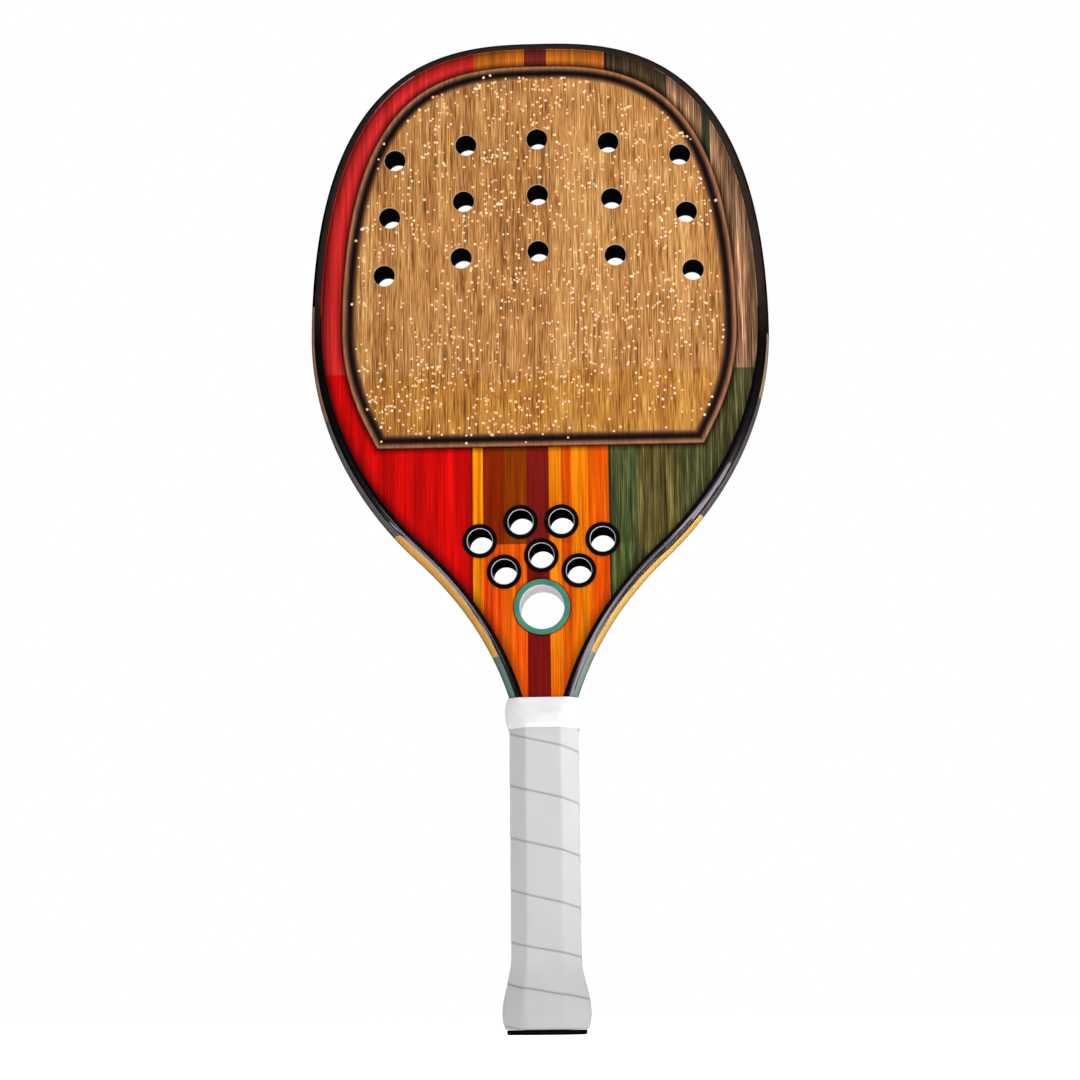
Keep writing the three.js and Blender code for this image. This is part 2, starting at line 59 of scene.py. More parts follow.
# Feeds a socket from a node, from another socket or with a value; text is an sRGB colour
def feed(tree, socket, value):
    if isinstance(value, bpy.types.Node):
        value = next(output for output in value.outputs if output.enabled)
    if isinstance(value, bpy.types.NodeSocket):
        tree.links.new(value, socket)
    else:
        socket.default_value = linear(value) if isinstance(value, str) else value


# Adds a node with its settings, or one word for its operation, and its inputs by name or in order
def addNode(tree, kind, settings=None, inputs=()):
    node = tree.nodes.new("ShaderNode" + kind)
    if isinstance(settings, str):
        settings = {"operation": settings}
    for name, value in (settings or {}).items():
        if name == "stops":
            ramp = node.color_ramp
            ramp.elements.remove(ramp.elements[1])
            for number, (position, colour) in enumerate(value):
                stop = ramp.elements.new(position) if number else ramp.elements[0]
                stop.position = position
                stop.color = linear(colour)
        elif name == "interpolation":
            node.color_ramp.interpolation = value
        else:
            setattr(node, name, value)
    sockets = [socket for socket in node.inputs if socket.enabled]
    for name, value in inputs.items() if isinstance(inputs, dict) else enumerate(inputs):
        socket = sockets[name] if isinstance(name, int) else next(s for s in sockets if s.name == name)
        feed(tree, socket, value)
    return node


# A material, with the function that adds nodes to it
def newMaterial(name, settings):
    material = bpy.data.materials.new(name)
    material.use_nodes = True
    shader = material.node_tree.nodes["Principled BSDF"]
    for socket, value in settings.items():
        shader.inputs[socket].default_value = value
    return material, partial(addNode, material.node_tree)


# Links a colour, a relief (its height, strength and depth in millimetres) and a glow to the shader
def dressed(material, colour, relief=None, glow=None):
    tree = material.node_tree
    shader = tree.nodes["Principled BSDF"]
    feed(tree, shader.inputs["Base Color"], colour)
    if glow:
        feed(tree, shader.inputs["Emission Strength"], glow)
    if relief:
        height, strength, depth = relief
        bump = {"Strength": strength, "Distance": depth * mm, "Height": height}
        feed(tree, shader.inputs["Normal"], addNode(tree, "Bump", None, bump))
    return material


mixed = {"data_type": "RGBA", "blend_type": "MIX"}
multiplied = {"data_type": "RGBA", "blend_type": "MULTIPLY"}


# A texture at a real size: its features' millimetres along each axis, or one number for all
def laid(add, kind, sizes, where=None, **inputs):
    where = where or add("TexCoord").outputs["Object"]
    scale = [1 / (size * mm) for size in (sizes if isinstance(sizes, tuple) else (sizes,) * 3)]
    scaled = add("Mapping", None, {"Vector": where, "Scale": scale})
    return add(kind, None, {"Vector": scaled, "Scale": 1, **inputs})


# The print's own position: mirrored on the rear, so that each face reads the same from its own side
def printPosition(add):
    where = add("SeparateXYZ", None, [add("TexCoord").outputs["Object"]])
    side = add("Math", "SIGN", [where.outputs["Y"]])
    across = add("Math", "MULTIPLY", [add("Math", "MULTIPLY", [where.outputs["X"], side]), -1])
    return across, where.outputs["Z"], add("CombineXYZ", None, {"X": across, "Z": where.outputs["Z"]})


# Meshes

def makePiece(name, vertices, faces, material, sharpAngle=30):
    mesh = bpy.data.meshes.new(name)
    mesh.from_pydata(vertices, [], faces)
    work = bmesh.new()
    work.from_mesh(mesh)
    bmesh.ops.recalc_face_normals(work, faces=work.faces)
    work.to_mesh(mesh)
    work.free()
    mesh.polygons.foreach_set("use_smooth", [True] * len(mesh.polygons))
    mesh.set_sharp_from_angle(angle=math.radians(sharpAngle))
    mesh.materials.append(material)
    piece = bpy.data.objects.new(name, mesh)
    bpy.context.scene.collection.objects.link(piece)
    weights = piece.modifiers.new("largeFacesLead", "WEIGHTED_NORMAL")
    weights.keep_sharp = True
    return piece


def seat(piece, slot, *nodes):
    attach(piece, "root")
    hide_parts(*nodes)


# Evenly spaced points along a line of points, both ends included
def resampled(points, count):
    lengths = [0]
    for here, ahead in zip(points, points[1:]):
        lengths.append(lengths[-1] + (ahead - here).length)
    even = []
    leg = 0
    for i in range(count):
        wanted = lengths[-1] * i / (count - 1)
        while leg < len(points) - 2 and lengths[leg + 1] < wanted:
            leg += 1
        share = (wanted - lengths[leg]) / (lengths[leg + 1] - lengths[leg])
        even.append(points[leg].lerp(points[leg + 1], share))
    return even


# A mesh in the making: rings of points, walls between them, and flat faces with holes
class Body:
    def __init__(self):
        self.points = []
        self.faces = []
        self.marks = {}

    # Adds points; a mark is one number or one for each point, and reaches the material by its name
    def ring(self, points, **marks):
        order = list(range(len(self.points), len(self.points) + len(points)))
        self.points.extend(Vector(point) for point in points)
        for name, value in marks.items():
            values = value if isinstance(value, list) else [value] * len(order)
            self.marks.setdefault(name, {}).update(zip(order, values))
        return order

    def wall(self, low, high, closed=True):
        for i in range(len(low) if closed else len(low) - 1):
            j = (i + 1) % len(low)
            self.faces.append((low[i], low[j], high[j], high[i]))

    def walls(self, rings, closed=True):
        for low, high in zip(rings, rings[1:]):
            self.wall(low, high, closed)

    # Fills a flat ring in the face's plane: its holes stay open, inner lines become edges, and
    # loose points are taken up by the faces between them
    def fill(self, outer, holes=(), lines=(), loose=()):
        loops = [outer, *holes, *lines]
        order = [index for loop in loops for index in loop] + list(loose)
        flat = [Vector((self.points[index].x, self.points[index].z)) for index in order]
        edges = []
        first = 0
        for loop in loops:
            edges += [(first + i, first + (i + 1) % len(loop)) for i in range(len(loop))]
            first += len(loop)
        result = delaunay_2d_cdt(flat, edges, [], 1, 1e-9)
        middles = []
        for hole in holes:
            centre = sum((self.points[index] for index in hole), Vector()) / len(hole)
            middles.append((centre.x, centre.z, (self.points[hole[0]] - centre).length))
        for triangle in result[2]:
            corners = [order[result[3][index][0]] for index in triangle]
            middle = sum((self.points[index] for index in corners), Vector()) / 3
            if all(math.hypot(middle.x - x, middle.z - z) > radius for x, z, radius in middles):
                self.faces.append(corners)

    def piece(self, name, material, sharpAngle=30):
        made = makePiece(name, self.points, self.faces, material, sharpAngle)
        for markName, values in self.marks.items():
            marks = made.data.attributes.new(markName, "FLOAT", "POINT")
            marks.data.foreach_set("value", [values.get(i, 0) for i in range(len(self.points))])
        return made


def smooth(share):
    share = min(max(share, 0), 1)
    return share * share * (3 - 2 * share)


def circle(centre, radius, y, count):
    turns = [2 * math.pi * i / count for i in range(count)]
    return [Vector((centre.x + radius * math.cos(t), y, centre.z + radius * math.sin(t))) for t in turns]


# A body turned about an axis through the face: its closed profile is pairs of radius and y, and
# the rings strictly inside the highlight span, counted from either end, carry a painted highlight
def turned(name, centre, profile, count, material, sharpAngle=30, highlightSpan=(0, 0)):
    body = Body()
    rings = []
    for number, (radius, y) in enumerate(profile):
        place = min(number, len(profile) - 1 - number)
        shine = 1 if highlightSpan[0] < place < highlightSpan[1] else 0
        rings.append(body.ring(circle(centre, radius, y, count), polish=shine))
    body.walls(rings + rings[:1])
    return body.piece(name, material, sharpAngle)


# A profile's corner rounded off: points on an arc from one direction to the next
def rounding(centre, radius, start, end, steps):
    angles = [math.radians(start + (end - start) * i / steps) for i in range(steps + 1)]
    return [(centre[0] + radius * math.cos(a), centre[1] + radius * math.sin(a)) for a in angles]


# Outline of the racket, as its frame runs

nodeLow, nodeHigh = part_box("frame")
halfDepth = nodeHigh.y
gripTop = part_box("grip_tape")[1].z

outline = {
    "headHalfWidth": nodeHigh.x,
    "crown": nodeHigh.z,
    "foot": nodeLow.z,
    "legHalfWidth": 11 * mm,
    "throatDrop": 19.5 * mm,
    "waistHalfWidth": 62.1 * mm,
    "waistHeightShare": 0.2387,
    "widestHeightShare": 0.5668,
    "waistAngle": math.radians(43),
    "throatPullShare": 0.062,
    "waistPullDownShare": 0.592,
    "waistPullUpShare": 0.31,
    "cheekPullShare": 0.416,
    "crownPullShare": 1,
    "crownFlatShare": 0.341,
    "curveSteps": (60, 60, 90),
}


# Right half of the outline in the face's plane, with its outward directions
def outlineHalf():
    o = outline
    reach = o["crown"] - gripTop
    slope = Vector((math.cos(o["waistAngle"]), 0, math.sin(o["waistAngle"])))
    waist = Vector((o["waistHalfWidth"], 0, gripTop + o["waistHeightShare"] * reach))
    widest = Vector((o["headHalfWidth"], 0, gripTop + o["widestHeightShare"] * reach))
    legTop = Vector((o["legHalfWidth"], 0, gripTop - o["throatDrop"]))
    crown = Vector((0, 0, o["crown"]))
    up = Vector((0, 0, 1))
    span = (waist - legTop).length
    curves = (
        (legTop, legTop + up * o["throatPullShare"] * span,
         waist - slope * o["waistPullDownShare"] * span, waist),
        (waist, waist + slope * o["waistPullUpShare"] * (widest - waist).length,
         widest - up * o["cheekPullShare"] * (widest.z - waist.z), widest),
        (widest, widest + up * o["crownPullShare"] * (crown.z - widest.z),
         crown + Vector((o["crownFlatShare"] * o["headHalfWidth"], 0, 0)), crown),
    )
    points = [Vector((o["legHalfWidth"], 0, o["foot"]))]
    for curve, steps in zip(curves, o["curveSteps"]):
        points += interpolate_bezier(*curve, steps + 1)[0 if len(points) == 1 else 1:]
    half = []
    for i, point in enumerate(points):
        along = points[min(i + 1, len(points) - 1)] - points[max(i - 1, 0)]
        if i == len(points) - 1:
            along = Vector((-1, 0, 0))
        half.append((point, Vector((along.z, 0, -along.x)).normalized()))
    return half


halfOutline = outlineHalf()


def mirrored(vector):
    return Vector((-vector.x, vector.y, vector.z))


# The outline drawn in and cut square at its lower end: evenly spaced points round the head,
# then points along the cut
def plateLoop(insetAt, tail, count, tailCount):
    right = [point - outward * insetAt(point.z) for point, outward in halfOutline]
    first = next(i for i, point in enumerate(right) if point.z > tail)
    share = (tail - right[first - 1].z) / (right[first].z - right[first - 1].z)
    right = [right[first - 1].lerp(right[first], share)] + right[first:]
    right[-1].x = 0
    side = resampled(right + [mirrored(point) for point in reversed(right[:-1])], count)
    cut = [side[-1].lerp(side[0], i / (tailCount + 1)) for i in range(1, tailCount + 1)]
    return side + cut


def atDepth(points, y):
    return [Vector((point.x, y, point.z)) for point in points]


def atHeight(points, z):
    return [Vector((point.x, point.y, z)) for point in points]


# Half width of the outline drawn in, at a height on the head
def halfWidthAt(height, insetAt):
    right = [point - outward * insetAt(point.z) for point, outward in halfOutline]
    widths = [low.lerp(high, (height - low.z) / (high.z - low.z)).x
              for low, high in zip(right, right[1:]) if low.z < height <= high.z]
    return widths[0] if widths else 0


# Holes: the face's own rows, and the neck's where the frame has them

holes = {
    "faceRadius": 5.35 * mm,
    "margin": 26.6 * mm,
    "spread": 1.35 * mm,
    "rowTopDrop": 54.1 * mm,
    "rowDrop": 29.5 * mm,
    "rowArc": 265 * mm,
    "rows": 3,
    "columns": 5,
    "segments": 56,
}

eased = 0.3  # where a rounded edge's middle point lies, as a share of its radius

panel = {
    "inset": 16.4 * mm,
    "tuck": 2.2 * mm,
    "lift": 1.4 * mm,
    "bottom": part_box("front_panel")[0].z,
    "widest": gripTop + outline["widestHeightShare"] * (outline["crown"] - gripTop),
    "thickness": 0.3 * mm,
    "bond": 0.1 * mm,
    "edgeRound": 0.12 * mm,
    "cutRound": 0.32 * mm,
    "boreHighlight": 0.3,
    "grooveStart": 2.8 * mm,
    "grooveWall": 0.4 * mm,
    "grooveEnd": 5 * mm,
    "grooveDepth": 0.17 * mm,
    "burnMiddle": 6.4 * mm,
    "burnEnd": 8.2 * mm,
    "count": 300,
    "tailCount": 60,
}


def faceHoleCentres():
    h = holes
    spacing = 2 * (outline["headHalfWidth"] - panel["inset"] - h["margin"]) / (h["columns"] - 1)
    centres = []
    for row in range(h["rows"]):
        for column in range(h["columns"]):
            x = (column - (h["columns"] - 1) / 2) * (spacing + h["spread"] * row)
            z = outline["crown"] - h["rowTopDrop"] - h["rowDrop"] * row - x * x / (2 * h["rowArc"])
            centres.append(Vector((x, 0, z)))
    return centres


def middleOf(node):
    low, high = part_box(node)
    return (low + high) / 2


faceHoles = faceHoleCentres()
eyeletNodes = sorted(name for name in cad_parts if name.startswith("neck_eyelet_"))
eyeletCentres = [middleOf(node) for node in eyeletNodes]
portCentre = middleOf("port_liner")


# Frame: one tube, its rounded rim sprayed black and clear-coated, with printed bands on its outer wall

rim = {
    "round": 5.2 * mm,
    "lip": 0.4 * mm,
    "shelf": 5.0 * mm,
    "skin": 1.3 * mm,
    "wall": 1.8 * mm,
    "steps": 32,
    "edgeRound": 0.2 * mm,
    "leftDepth": (235 * mm, 250 * mm, 10 * mm, 9.1 * mm),
    "rightDepth": (205 * mm, 235 * mm, 8.8 * mm, 7.7 * mm),
    "bandReach": 520 * mm,
    # Each side has its own band colours, set to how that side is lit: their difference is painted light and
    # shade
    "leftBands": [(0, "#748f86"), (0.344, "#efb254"), (0.463, "#6d676a"), (0.578, "#a67c60"),
                  (0.688, "#0d0a0b")],
    "rightBands": [(0, "#83998b"), (0.35, "#dcae5c"), (0.478, "#585354"), (0.5925, "#a38d66"),
                   (0.656, "#140d0b")],
    # The black lightens towards the crown as painted sheen, standing in for soft reflection there
    "lowBlack": "#0a0708",
    "highBlackPaintedSheen": "#2e2420",
    "blackChange": (338 * mm, 365 * mm),
    "streak": (30, 1.2, 6),
    "streakShade": (0.3, 0.7, 0.8, 1.16),
    "mottle": 5,
    "mottleShade": (0.3, 0.7, 0.8, 1.25),
}


def clearCoatedPaint():
    # Polyurethane paint, sprayed and clear-coated over printed side bands: deep black, thin sharp lights
    settings = {"Roughness": 0.3, "Coat Weight": 1, "Coat Roughness": 0.03, "Specular IOR Level": 0.3}
    material, add = newMaterial("polyurethanePaintClearCoated", settings)
    place = add("TexCoord").outputs["Object"]
    where = add("SeparateXYZ", None, [place])
    share = add("Math", "DIVIDE", [where.outputs["Z"], rim["bandReach"]])
    # Each side's band colours; the difference between them is painted light and shade
    sides = [add("ValToRGB", {"stops": rim[name], "interpolation": "CONSTANT"}, [share])
             for name in ("leftBands", "rightBands")]
    onRight = add("Math", "GREATER_THAN", [where.outputs["X"], 0])
    band = add("Mix", mixed, [onRight, *sides])
    streaks = laid(add, "TexNoise", rim["streak"], place, Detail=3)
    shade = add("MapRange", None, [streaks, *rim["streakShade"]])
    band = add("Mix", multiplied, [1, band, shade])
    depth = add("Math", "ABSOLUTE", [where.outputs["Y"]])
    depths = [add("MapRange", None, [where.outputs["Z"], *rim[name]])
              for name in ("leftDepth", "rightDepth")]
    bandHalf = add("Mix", {"data_type": "FLOAT"}, [onRight, *depths])
    onBand = add("Math", "LESS_THAN", [depth, bandHalf])
    cloud = laid(add, "TexNoise", rim["mottle"], place, Detail=2)
    # Painted sheen: the black blends lighter towards the crown
    high = add("MapRange", None, [where.outputs["Z"], *rim["blackChange"], 0, 1])
    black = add("Mix", mixed, [high, rim["lowBlack"], rim["highBlackPaintedSheen"]])
    shade = add("MapRange", None, [cloud, *rim["mottleShade"]])
    black = add("Mix", multiplied, [1, black, shade])
    colour = add("Mix", mixed, [onBand, black, band])
    return dressed(material, colour, (cloud, 0.04, 0.1))


# The rounded side of a section of the tube: pairs of inset and y
def sideRound(start, reach, half, steps):
    angles = [math.pi * (i / steps - 0.5) for i in range(steps + 1)]
    return [(start + reach * (1 - math.cos(angle)), half * math.sin(angle)) for angle in angles]


def makeFrameTube(material):
    r = rim
    shelf = halfDepth - r["skin"]
    soft = r["edgeRound"]
    lipEdge = r["round"] + r["lip"]
    inner = lipEdge + r["shelf"]
    section = sideRound(0, r["round"], halfDepth, r["steps"])
    section += [(lipEdge - soft, halfDepth), (lipEdge, halfDepth - soft), (lipEdge, shelf)]
    section += [(inner, shelf), (inner, -shelf), (lipEdge, -shelf)]
    section += [(lipEdge, soft - halfDepth), (lipEdge - soft, -halfDepth)]
    boreHalf = shelf - r["wall"]
    bore = sideRound(r["wall"], r["round"] - r["wall"], boreHalf, r["steps"] // 2)
    bore += [(inner - r["wall"], boreHalf), (inner - r["wall"], -boreHalf)]
    path = list(halfOutline)
    path += [(mirrored(point), mirrored(outward)) for point, outward in reversed(halfOutline[:-1])]
    body = Body()
    tubes = []
    for profile in (section, bore):
        rings = []
        for point, outward in path:
            rings.append(body.ring([point - outward * x + Vector((0, y, 0)) for x, y in profile]))
        body.walls(rings)
        tubes.append(rings)
    for end in (0, -1):
        capEnd(body, tubes[0][end], tubes[1][end])
    seat(body.piece("frameTube", material, 40), "rim", "frame")
    print("frame tube made")


# The foot of the tube: a flat ring between its outer and inner sections
def capEnd(body, outer, inside):
    order = outer + inside
    flat = [body.points[index].xy for index in order]
    edges = []
    for first, loop in ((0, outer), (len(outer), inside)):
        edges += [(first + i, first + (i + 1) % len(loop)) for i in range(len(loop))]
    result = delaunay_2d_cdt(flat, edges, [], 1, 1e-9)
    for triangle in result[2]:
        corners = [order[result[3][index][0]] for index in triangle]
        if not all(corner in inside for corner in corners):
            body.faces.append(corners)


# Core: a slab of foam, drilled right through

core = {
    "inset": 10.9 * mm,
    "tail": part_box("core")[0].z,
    "halfDepth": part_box("core")[1].y,
    "eyeletRadius": 7.25 * mm,
    "portRadius": 12.3 * mm,
    "count": 240,
    "tailCount": 4,
    "levels": 10,
    "pitDepth": 0.08 * mm,
    "pitSize": 0.9 * mm,
    "cell": 0.45,
    "cellColours": [(0, "#1a1822"), (0.5, "#0c0b10")],
}

# Every hole through core and skins, with its radius
drilled = [(centre, holes["faceRadius"]) for centre in faceHoles]
drilled += [(centre, core["eyeletRadius"]) for centre in eyeletCentres] + [(portCentre, core["portRadius"])]


def closedCellFoam():
    # Black EVA foam, cut with a drill: dull, with open cells that catch a little light
    material, add = newMaterial("evaFoamDrilled", {"Roughness": 0.9, "Specular IOR Level": 0.15})
    cells = laid(add, "TexVoronoi", core["cell"])
    colour = add("ValToRGB", {"stops": core["cellColours"]}, [cells])
    return dressed(material, colour, (cells, 0.5, 0.15))


def makeCore(material):
    c = core
    body = Body()
    loop = plateLoop(lambda height: c["inset"], c["tail"], c["count"], c["tailCount"])
    front = body.ring(atDepth(loop, -c["halfDepth"]))
    rear = body.ring(atDepth(loop, c["halfDepth"]))
    body.wall(front, rear)
    frontHoles = []
    rearHoles = []
    for centre, radius in drilled:
        rings = []
        for i in range(c["levels"] + 1):
            y = c["halfDepth"] * (2 * i / c["levels"] - 1)
            ring = circle(centre, radius, y, holes["segments"])
            if 0 < i < c["levels"]:
                for point in ring:
                    away = Vector((point.x - centre.x, 0, point.z - centre.z)).normalized()
                    point += away * c["pitDepth"] * (1 + noise.noise(point / c["pitSize"]))
            rings.append(body.ring(ring))
        body.walls(rings)
        frontHoles.append(rings[0])
        rearHoles.append(rings[-1])
    body.fill(front, frontHoles)
    body.fill(rear, rearHoles)
    seat(body.piece("foamCore", material), "foam", "core")
    print("core made")


# Skins: thin laminates printed with stained wood planks, clear-coated, with painted shadow laid into the
# print

skin = {
    "inset": 5.7 * mm,
    "tail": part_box("front_skin")[0].z,
    "thickness": 1.2 * mm,
    "edgeRound": 0.2 * mm,
    "holeEdge": 0.15 * mm,
    "count": 300,
    "tailCount": 6,
    # Painted shadow on the print beside the panel: its reach, and its strength at shares of that reach
    "shadowReach": 3.2 * mm,
    "panelShades": ((0, 1), (0.35, 0.6), (1, 0)),
    # Painted shadow round the port ring: dark at the first radius, gone at the second
    "portShadow": (13.7 * mm, 14.7 * mm),
    "borderLine": 0.1 * mm,
    # Painted shade inside the printed black border: darkest at the border, stronger on the print's left,
    # fading in above the tail
    "borderPaintedShades": ((0, 1), (0.8 * mm, 0.8), (1.8 * mm, 0.5), (3.2 * mm, 0.28), (5 * mm, 0)),
    "borderShadeSideBias": 0.25,
    "borderFade": 40 * mm,
    "borderStops": [(300 * mm, 6.6 * mm), (346 * mm, 6.1 * mm), (380 * mm, 5.7 * mm), (450 * mm, 5.6 * mm),
                    (480 * mm, 5.2 * mm)],
    "planks": [(-130, "#c40705"), (-34.9, "#7a1408"), (-34.5, "#ee9405"), (-29.2, "#5a1e02"),
               (-28.8, "#842301"), (-19.2, "#853601"), (-8.1, "#4c100a"), (-7.7, "#781813"),
               (4, "#ee840a"), (9.5, "#d25004"), (14.5, "#ef8506"), (23, "#dc5a03"), (33.2, "#262c14"),
               (33.7, "#434a29"), (47.3, "#584f29"), (68.3, "#484b2a"), (86, "#4a472b")],
    "neckPlanks": [(-130, "#c40705"), (-34.9, "#7a1408"), (-34.5, "#ee9405"), (-28.6, "#dc4c08"),
                   (-21, "#e36408"), (-14, "#e25a08"), (-8.1, "#4c100a"), (-7.7, "#74120f"),
                   (4, "#ee840a"), (9.5, "#dd6005"), (14.5, "#ef8506"), (23, "#de5c04"),
                   (33.2, "#262c14"), (33.7, "#465129"), (47.3, "#5c532c")],
    "crownPlanks": [(-130, "#cb2927"), (-32.4, "#b25f1b"), (-18, "#c66b1e"), (-6.6, "#6f2521"),
                    (4.9, "#cd7423"), (19, "#b76320"), (33.8, "#36182c"), (34.6, "#3f3424"),
                    (48, "#463824"), (66, "#966e50"), (83, "#363f29"), (86.5, "#89654a")],
    "plankReach": 130,
    "neckHeight": 236 * mm,
    "crownHeight": 323 * mm,
    "greenStart": 33.4 * mm,
    "joint": 0.35 * mm,
    "orangeRed": (0.6, 0.62),
    "streak": (2.4, 1, 60),
    "streakRange": (0.42, 0.66),
    "streakTint": "#f4b8b0",
    "fibres": (((0.7, 1, 40), 3, 2.2), ((2.6, 1, 80), 2, 1.9), ((8, 1, 150), 1, 1.2), ((0.42, 1, 14), 2, 5)),
    "greenContrast": 2.7,
    "jointStrength": 0.3,
    "jointTint": "#6a5044",
    "shadowTint": "#5c4a42",
    "black": "#0d0a0b",
}


def stainedWoodPrint():
    # Wood veneer print under a gloss laminate: saturated stains, fine upright fibres, sharper in the greens
    # Painted shadow darkens the print beside the panel, round the port ring and along the rim
    settings = {"Roughness": 0.3, "Coat Weight": 0.1, "Coat Roughness": 0.08, "Specular IOR Level": 0.08}
    material, add = newMaterial("glossLaminateWoodPrint", settings)
    s = skin
    across, height, flat = printPosition(add)
    reach = s["plankReach"]
    share = add("MapRange", None, [across, -reach * mm, reach * mm, 0, 1])
    zones = []
    for name in ("planks", "neckPlanks", "crownPlanks"):
        stops = [((edge + reach) / (2 * reach), colour) for edge, colour in skin[name]]
        zones.append(add("ValToRGB", {"stops": stops, "interpolation": "CONSTANT"}, [share]))
    inNeck = add("Math", "LESS_THAN", [height, s["neckHeight"]])
    inCrown = add("Math", "GREATER_THAN", [height, s["crownHeight"]])
    colour = add("Mix", mixed, [inNeck, zones[0], zones[1]])
    colour = add("Mix", mixed, [inCrown, colour, zones[2]])
    redness = add("SeparateColor", None, [colour]).outputs["Red"]
    isOrange = add("MapRange", None, [redness, *s["orangeRed"], 0, 1])
    streak = laid(add, "TexNoise", s["streak"], flat, Detail=2, Roughness=0.6)
    streak = add("MapRange", None, [streak, *s["streakRange"], 0, 1])
    streak = add("Math", "MULTIPLY", [streak, isOrange])
    colour = add("Mix", multiplied, [streak, colour, s["streakTint"]])
    isGreen = add("Math", "GREATER_THAN", [across, s["greenStart"]])
    contrast = add("MapRange", None, [isGreen, 0, 1, 1, s["greenContrast"]])
    depths = []
    for size, detail, depth in s["fibres"]:
        grain = laid(add, "TexNoise", size, flat, Detail=detail)
        level = add("Math", "SUBTRACT", [grain, 0.5])
        depths.append(add("Math", "MULTIPLY", [level, depth]))
    stain = add("Math", "ADD", [depths[0], depths[1]])
    stain = add("Math", "MULTIPLY", [stain, contrast])
    stain = add("Math", "ADD", [stain, depths[2]])
    stain = add("Math", "MULTIPLY_ADD", [depths[3], isGreen, stain])
    shade = add("Math", "POWER", [2, stain])
    colour = add("Mix", multiplied, [1, colour, shade])
    fromJoint = add("Math", "SUBTRACT", [height, s["crownHeight"]])
    fromJoint = add("Math", "ABSOLUTE", [fromJoint])
    joint = add("Math", "LESS_THAN", [fromJoint, s["joint"]])
    joint = add("Math", "MULTIPLY", [joint, s["jointStrength"]])
    colour = add("Mix", multiplied, [joint, colour, s["jointTint"]])
    # The mark holds the printed black border below -0.5, and painted shadow from 0 to 1, multiplied in with
    # the shadow tint
    mark = add("Attribute", {"attribute_name": "printShade"}).outputs["Fac"]
    shadow = add("MapRange", None, [mark, 0, 1, 0, 1])
    colour = add("Mix", multiplied, [shadow, colour, s["shadowTint"]])
    inBorder = add("Math", "LESS_THAN", [mark, -0.5])
    colour = add("Mix", mixed, [inBorder, colour, s["black"]])
    return dressed(material, colour, (stain, 0.04, 0.05))


def panelInset(extra):
    def insetAt(height):
        below = min(max((panel["widest"] - height) / (panel["widest"] - panel["bottom"]), 0), 1)
        above = min(max((height - panel["widest"]) / (outline["crown"] - panel["widest"]), 0), 1)
        return panel["inset"] + panel["tuck"] * below * below - panel["lift"] * above * above + extra
    return insetAt


def panelLoop(inset):
    return plateLoop(panelInset(inset), panel["bottom"] + inset, panel["count"], panel["tailCount"])


# Where the black line printed round the face ends, measured in from the outline
def borderInset(height):
    stops = skin["borderStops"]
    for (low, wide), (high, narrow) in zip(stops, stops[1:]):
        if height < high:
            return wide + (narrow - wide) * max(0, (height - low) / (high - low))
    return stops[-1][1]


def makeSkins(material):
    s = skin
    inner = halfDepth - s["thickness"]
    edge = s["edgeRound"]
    least = s["inset"] + edge + s["borderLine"]
    for name, side, node in (("frontFace", -1, "front_skin"), ("rearFace", 1, "rear_skin")):
        body = Body()
        rings = []
        shoulder = ((0, halfDepth - edge), (edge * eased, halfDepth - edge * eased), (edge, halfDepth))
        for inset, y in ((0, inner), *shoulder):
            tail = s["tail"] + inset
            loop = plateLoop(lambda height: s["inset"] + inset, tail, s["count"], s["tailCount"])
            shades = [-1 if borderInset(point.z) > least else 0 for point in loop]
            rings.append(body.ring(atDepth(loop, side * y), printShade=shades))
        body.walls(rings)
        lines = []
        # The printed black border's inner line, then lines of painted shade inside it
        for grow, shade in ((-s["borderLine"], -1), *s["borderPaintedShades"]):
            low = s["tail"] + edge + 2 * s["borderLine"] + grow
            loop = plateLoop(lambda height: max(borderInset(height), least) + s["borderLine"] + grow, low,
                             s["count"], s["tailCount"])
            shades = []
            for point in loop:
                soft = 1 - s["borderShadeSideBias"] * (1 - side * point.x / outline["headHalfWidth"])
                soft *= smooth((point.z - s["tail"]) / s["borderFade"])
                shades.append(shade * soft if shade >= 0 else -1 if borderInset(point.z) > least else 0)
            lines.append(body.ring(atDepth(loop, side * halfDepth), printShade=shades))
        outerHoles = []
        innerHoles = []
        for centre, radius in drilled:
            count = holes["segments"]
            deep = body.ring(circle(centre, radius, side * inner, count), printShade=-1)
            top = body.ring(circle(centre, radius, side * halfDepth, count), printShade=-1)
            around = body.ring(circle(centre, radius + s["holeEdge"], side * halfDepth, count), printShade=0)
            body.walls([deep, top, around])
            innerHoles.append(deep)
            outerHoles.append(around)
        # Painted shadow: lines that darken the print towards the panel's edge
        for reach, shade in s["panelShades"]:
            loop = panelLoop(-reach * s["shadowReach"])
            lines.append(body.ring(atDepth(loop, side * halfDepth), printShade=shade))
        # Painted shadow: a dark ring on the print round the port ring's flange
        for radius, shade in zip(s["portShadow"], (1, 0)):
            ring = circle(portCentre, radius, side * halfDepth, holes["segments"])
            lines.append(body.ring(ring, printShade=shade))
        body.fill(rings[0], innerHoles)
        body.fill(rings[-1], outerHoles, lines)
        seat(body.piece(name, material), "face", node)
    print("skins made")


# Panels: the textured hitting zone, printed as bamboo with a burnt groove round it

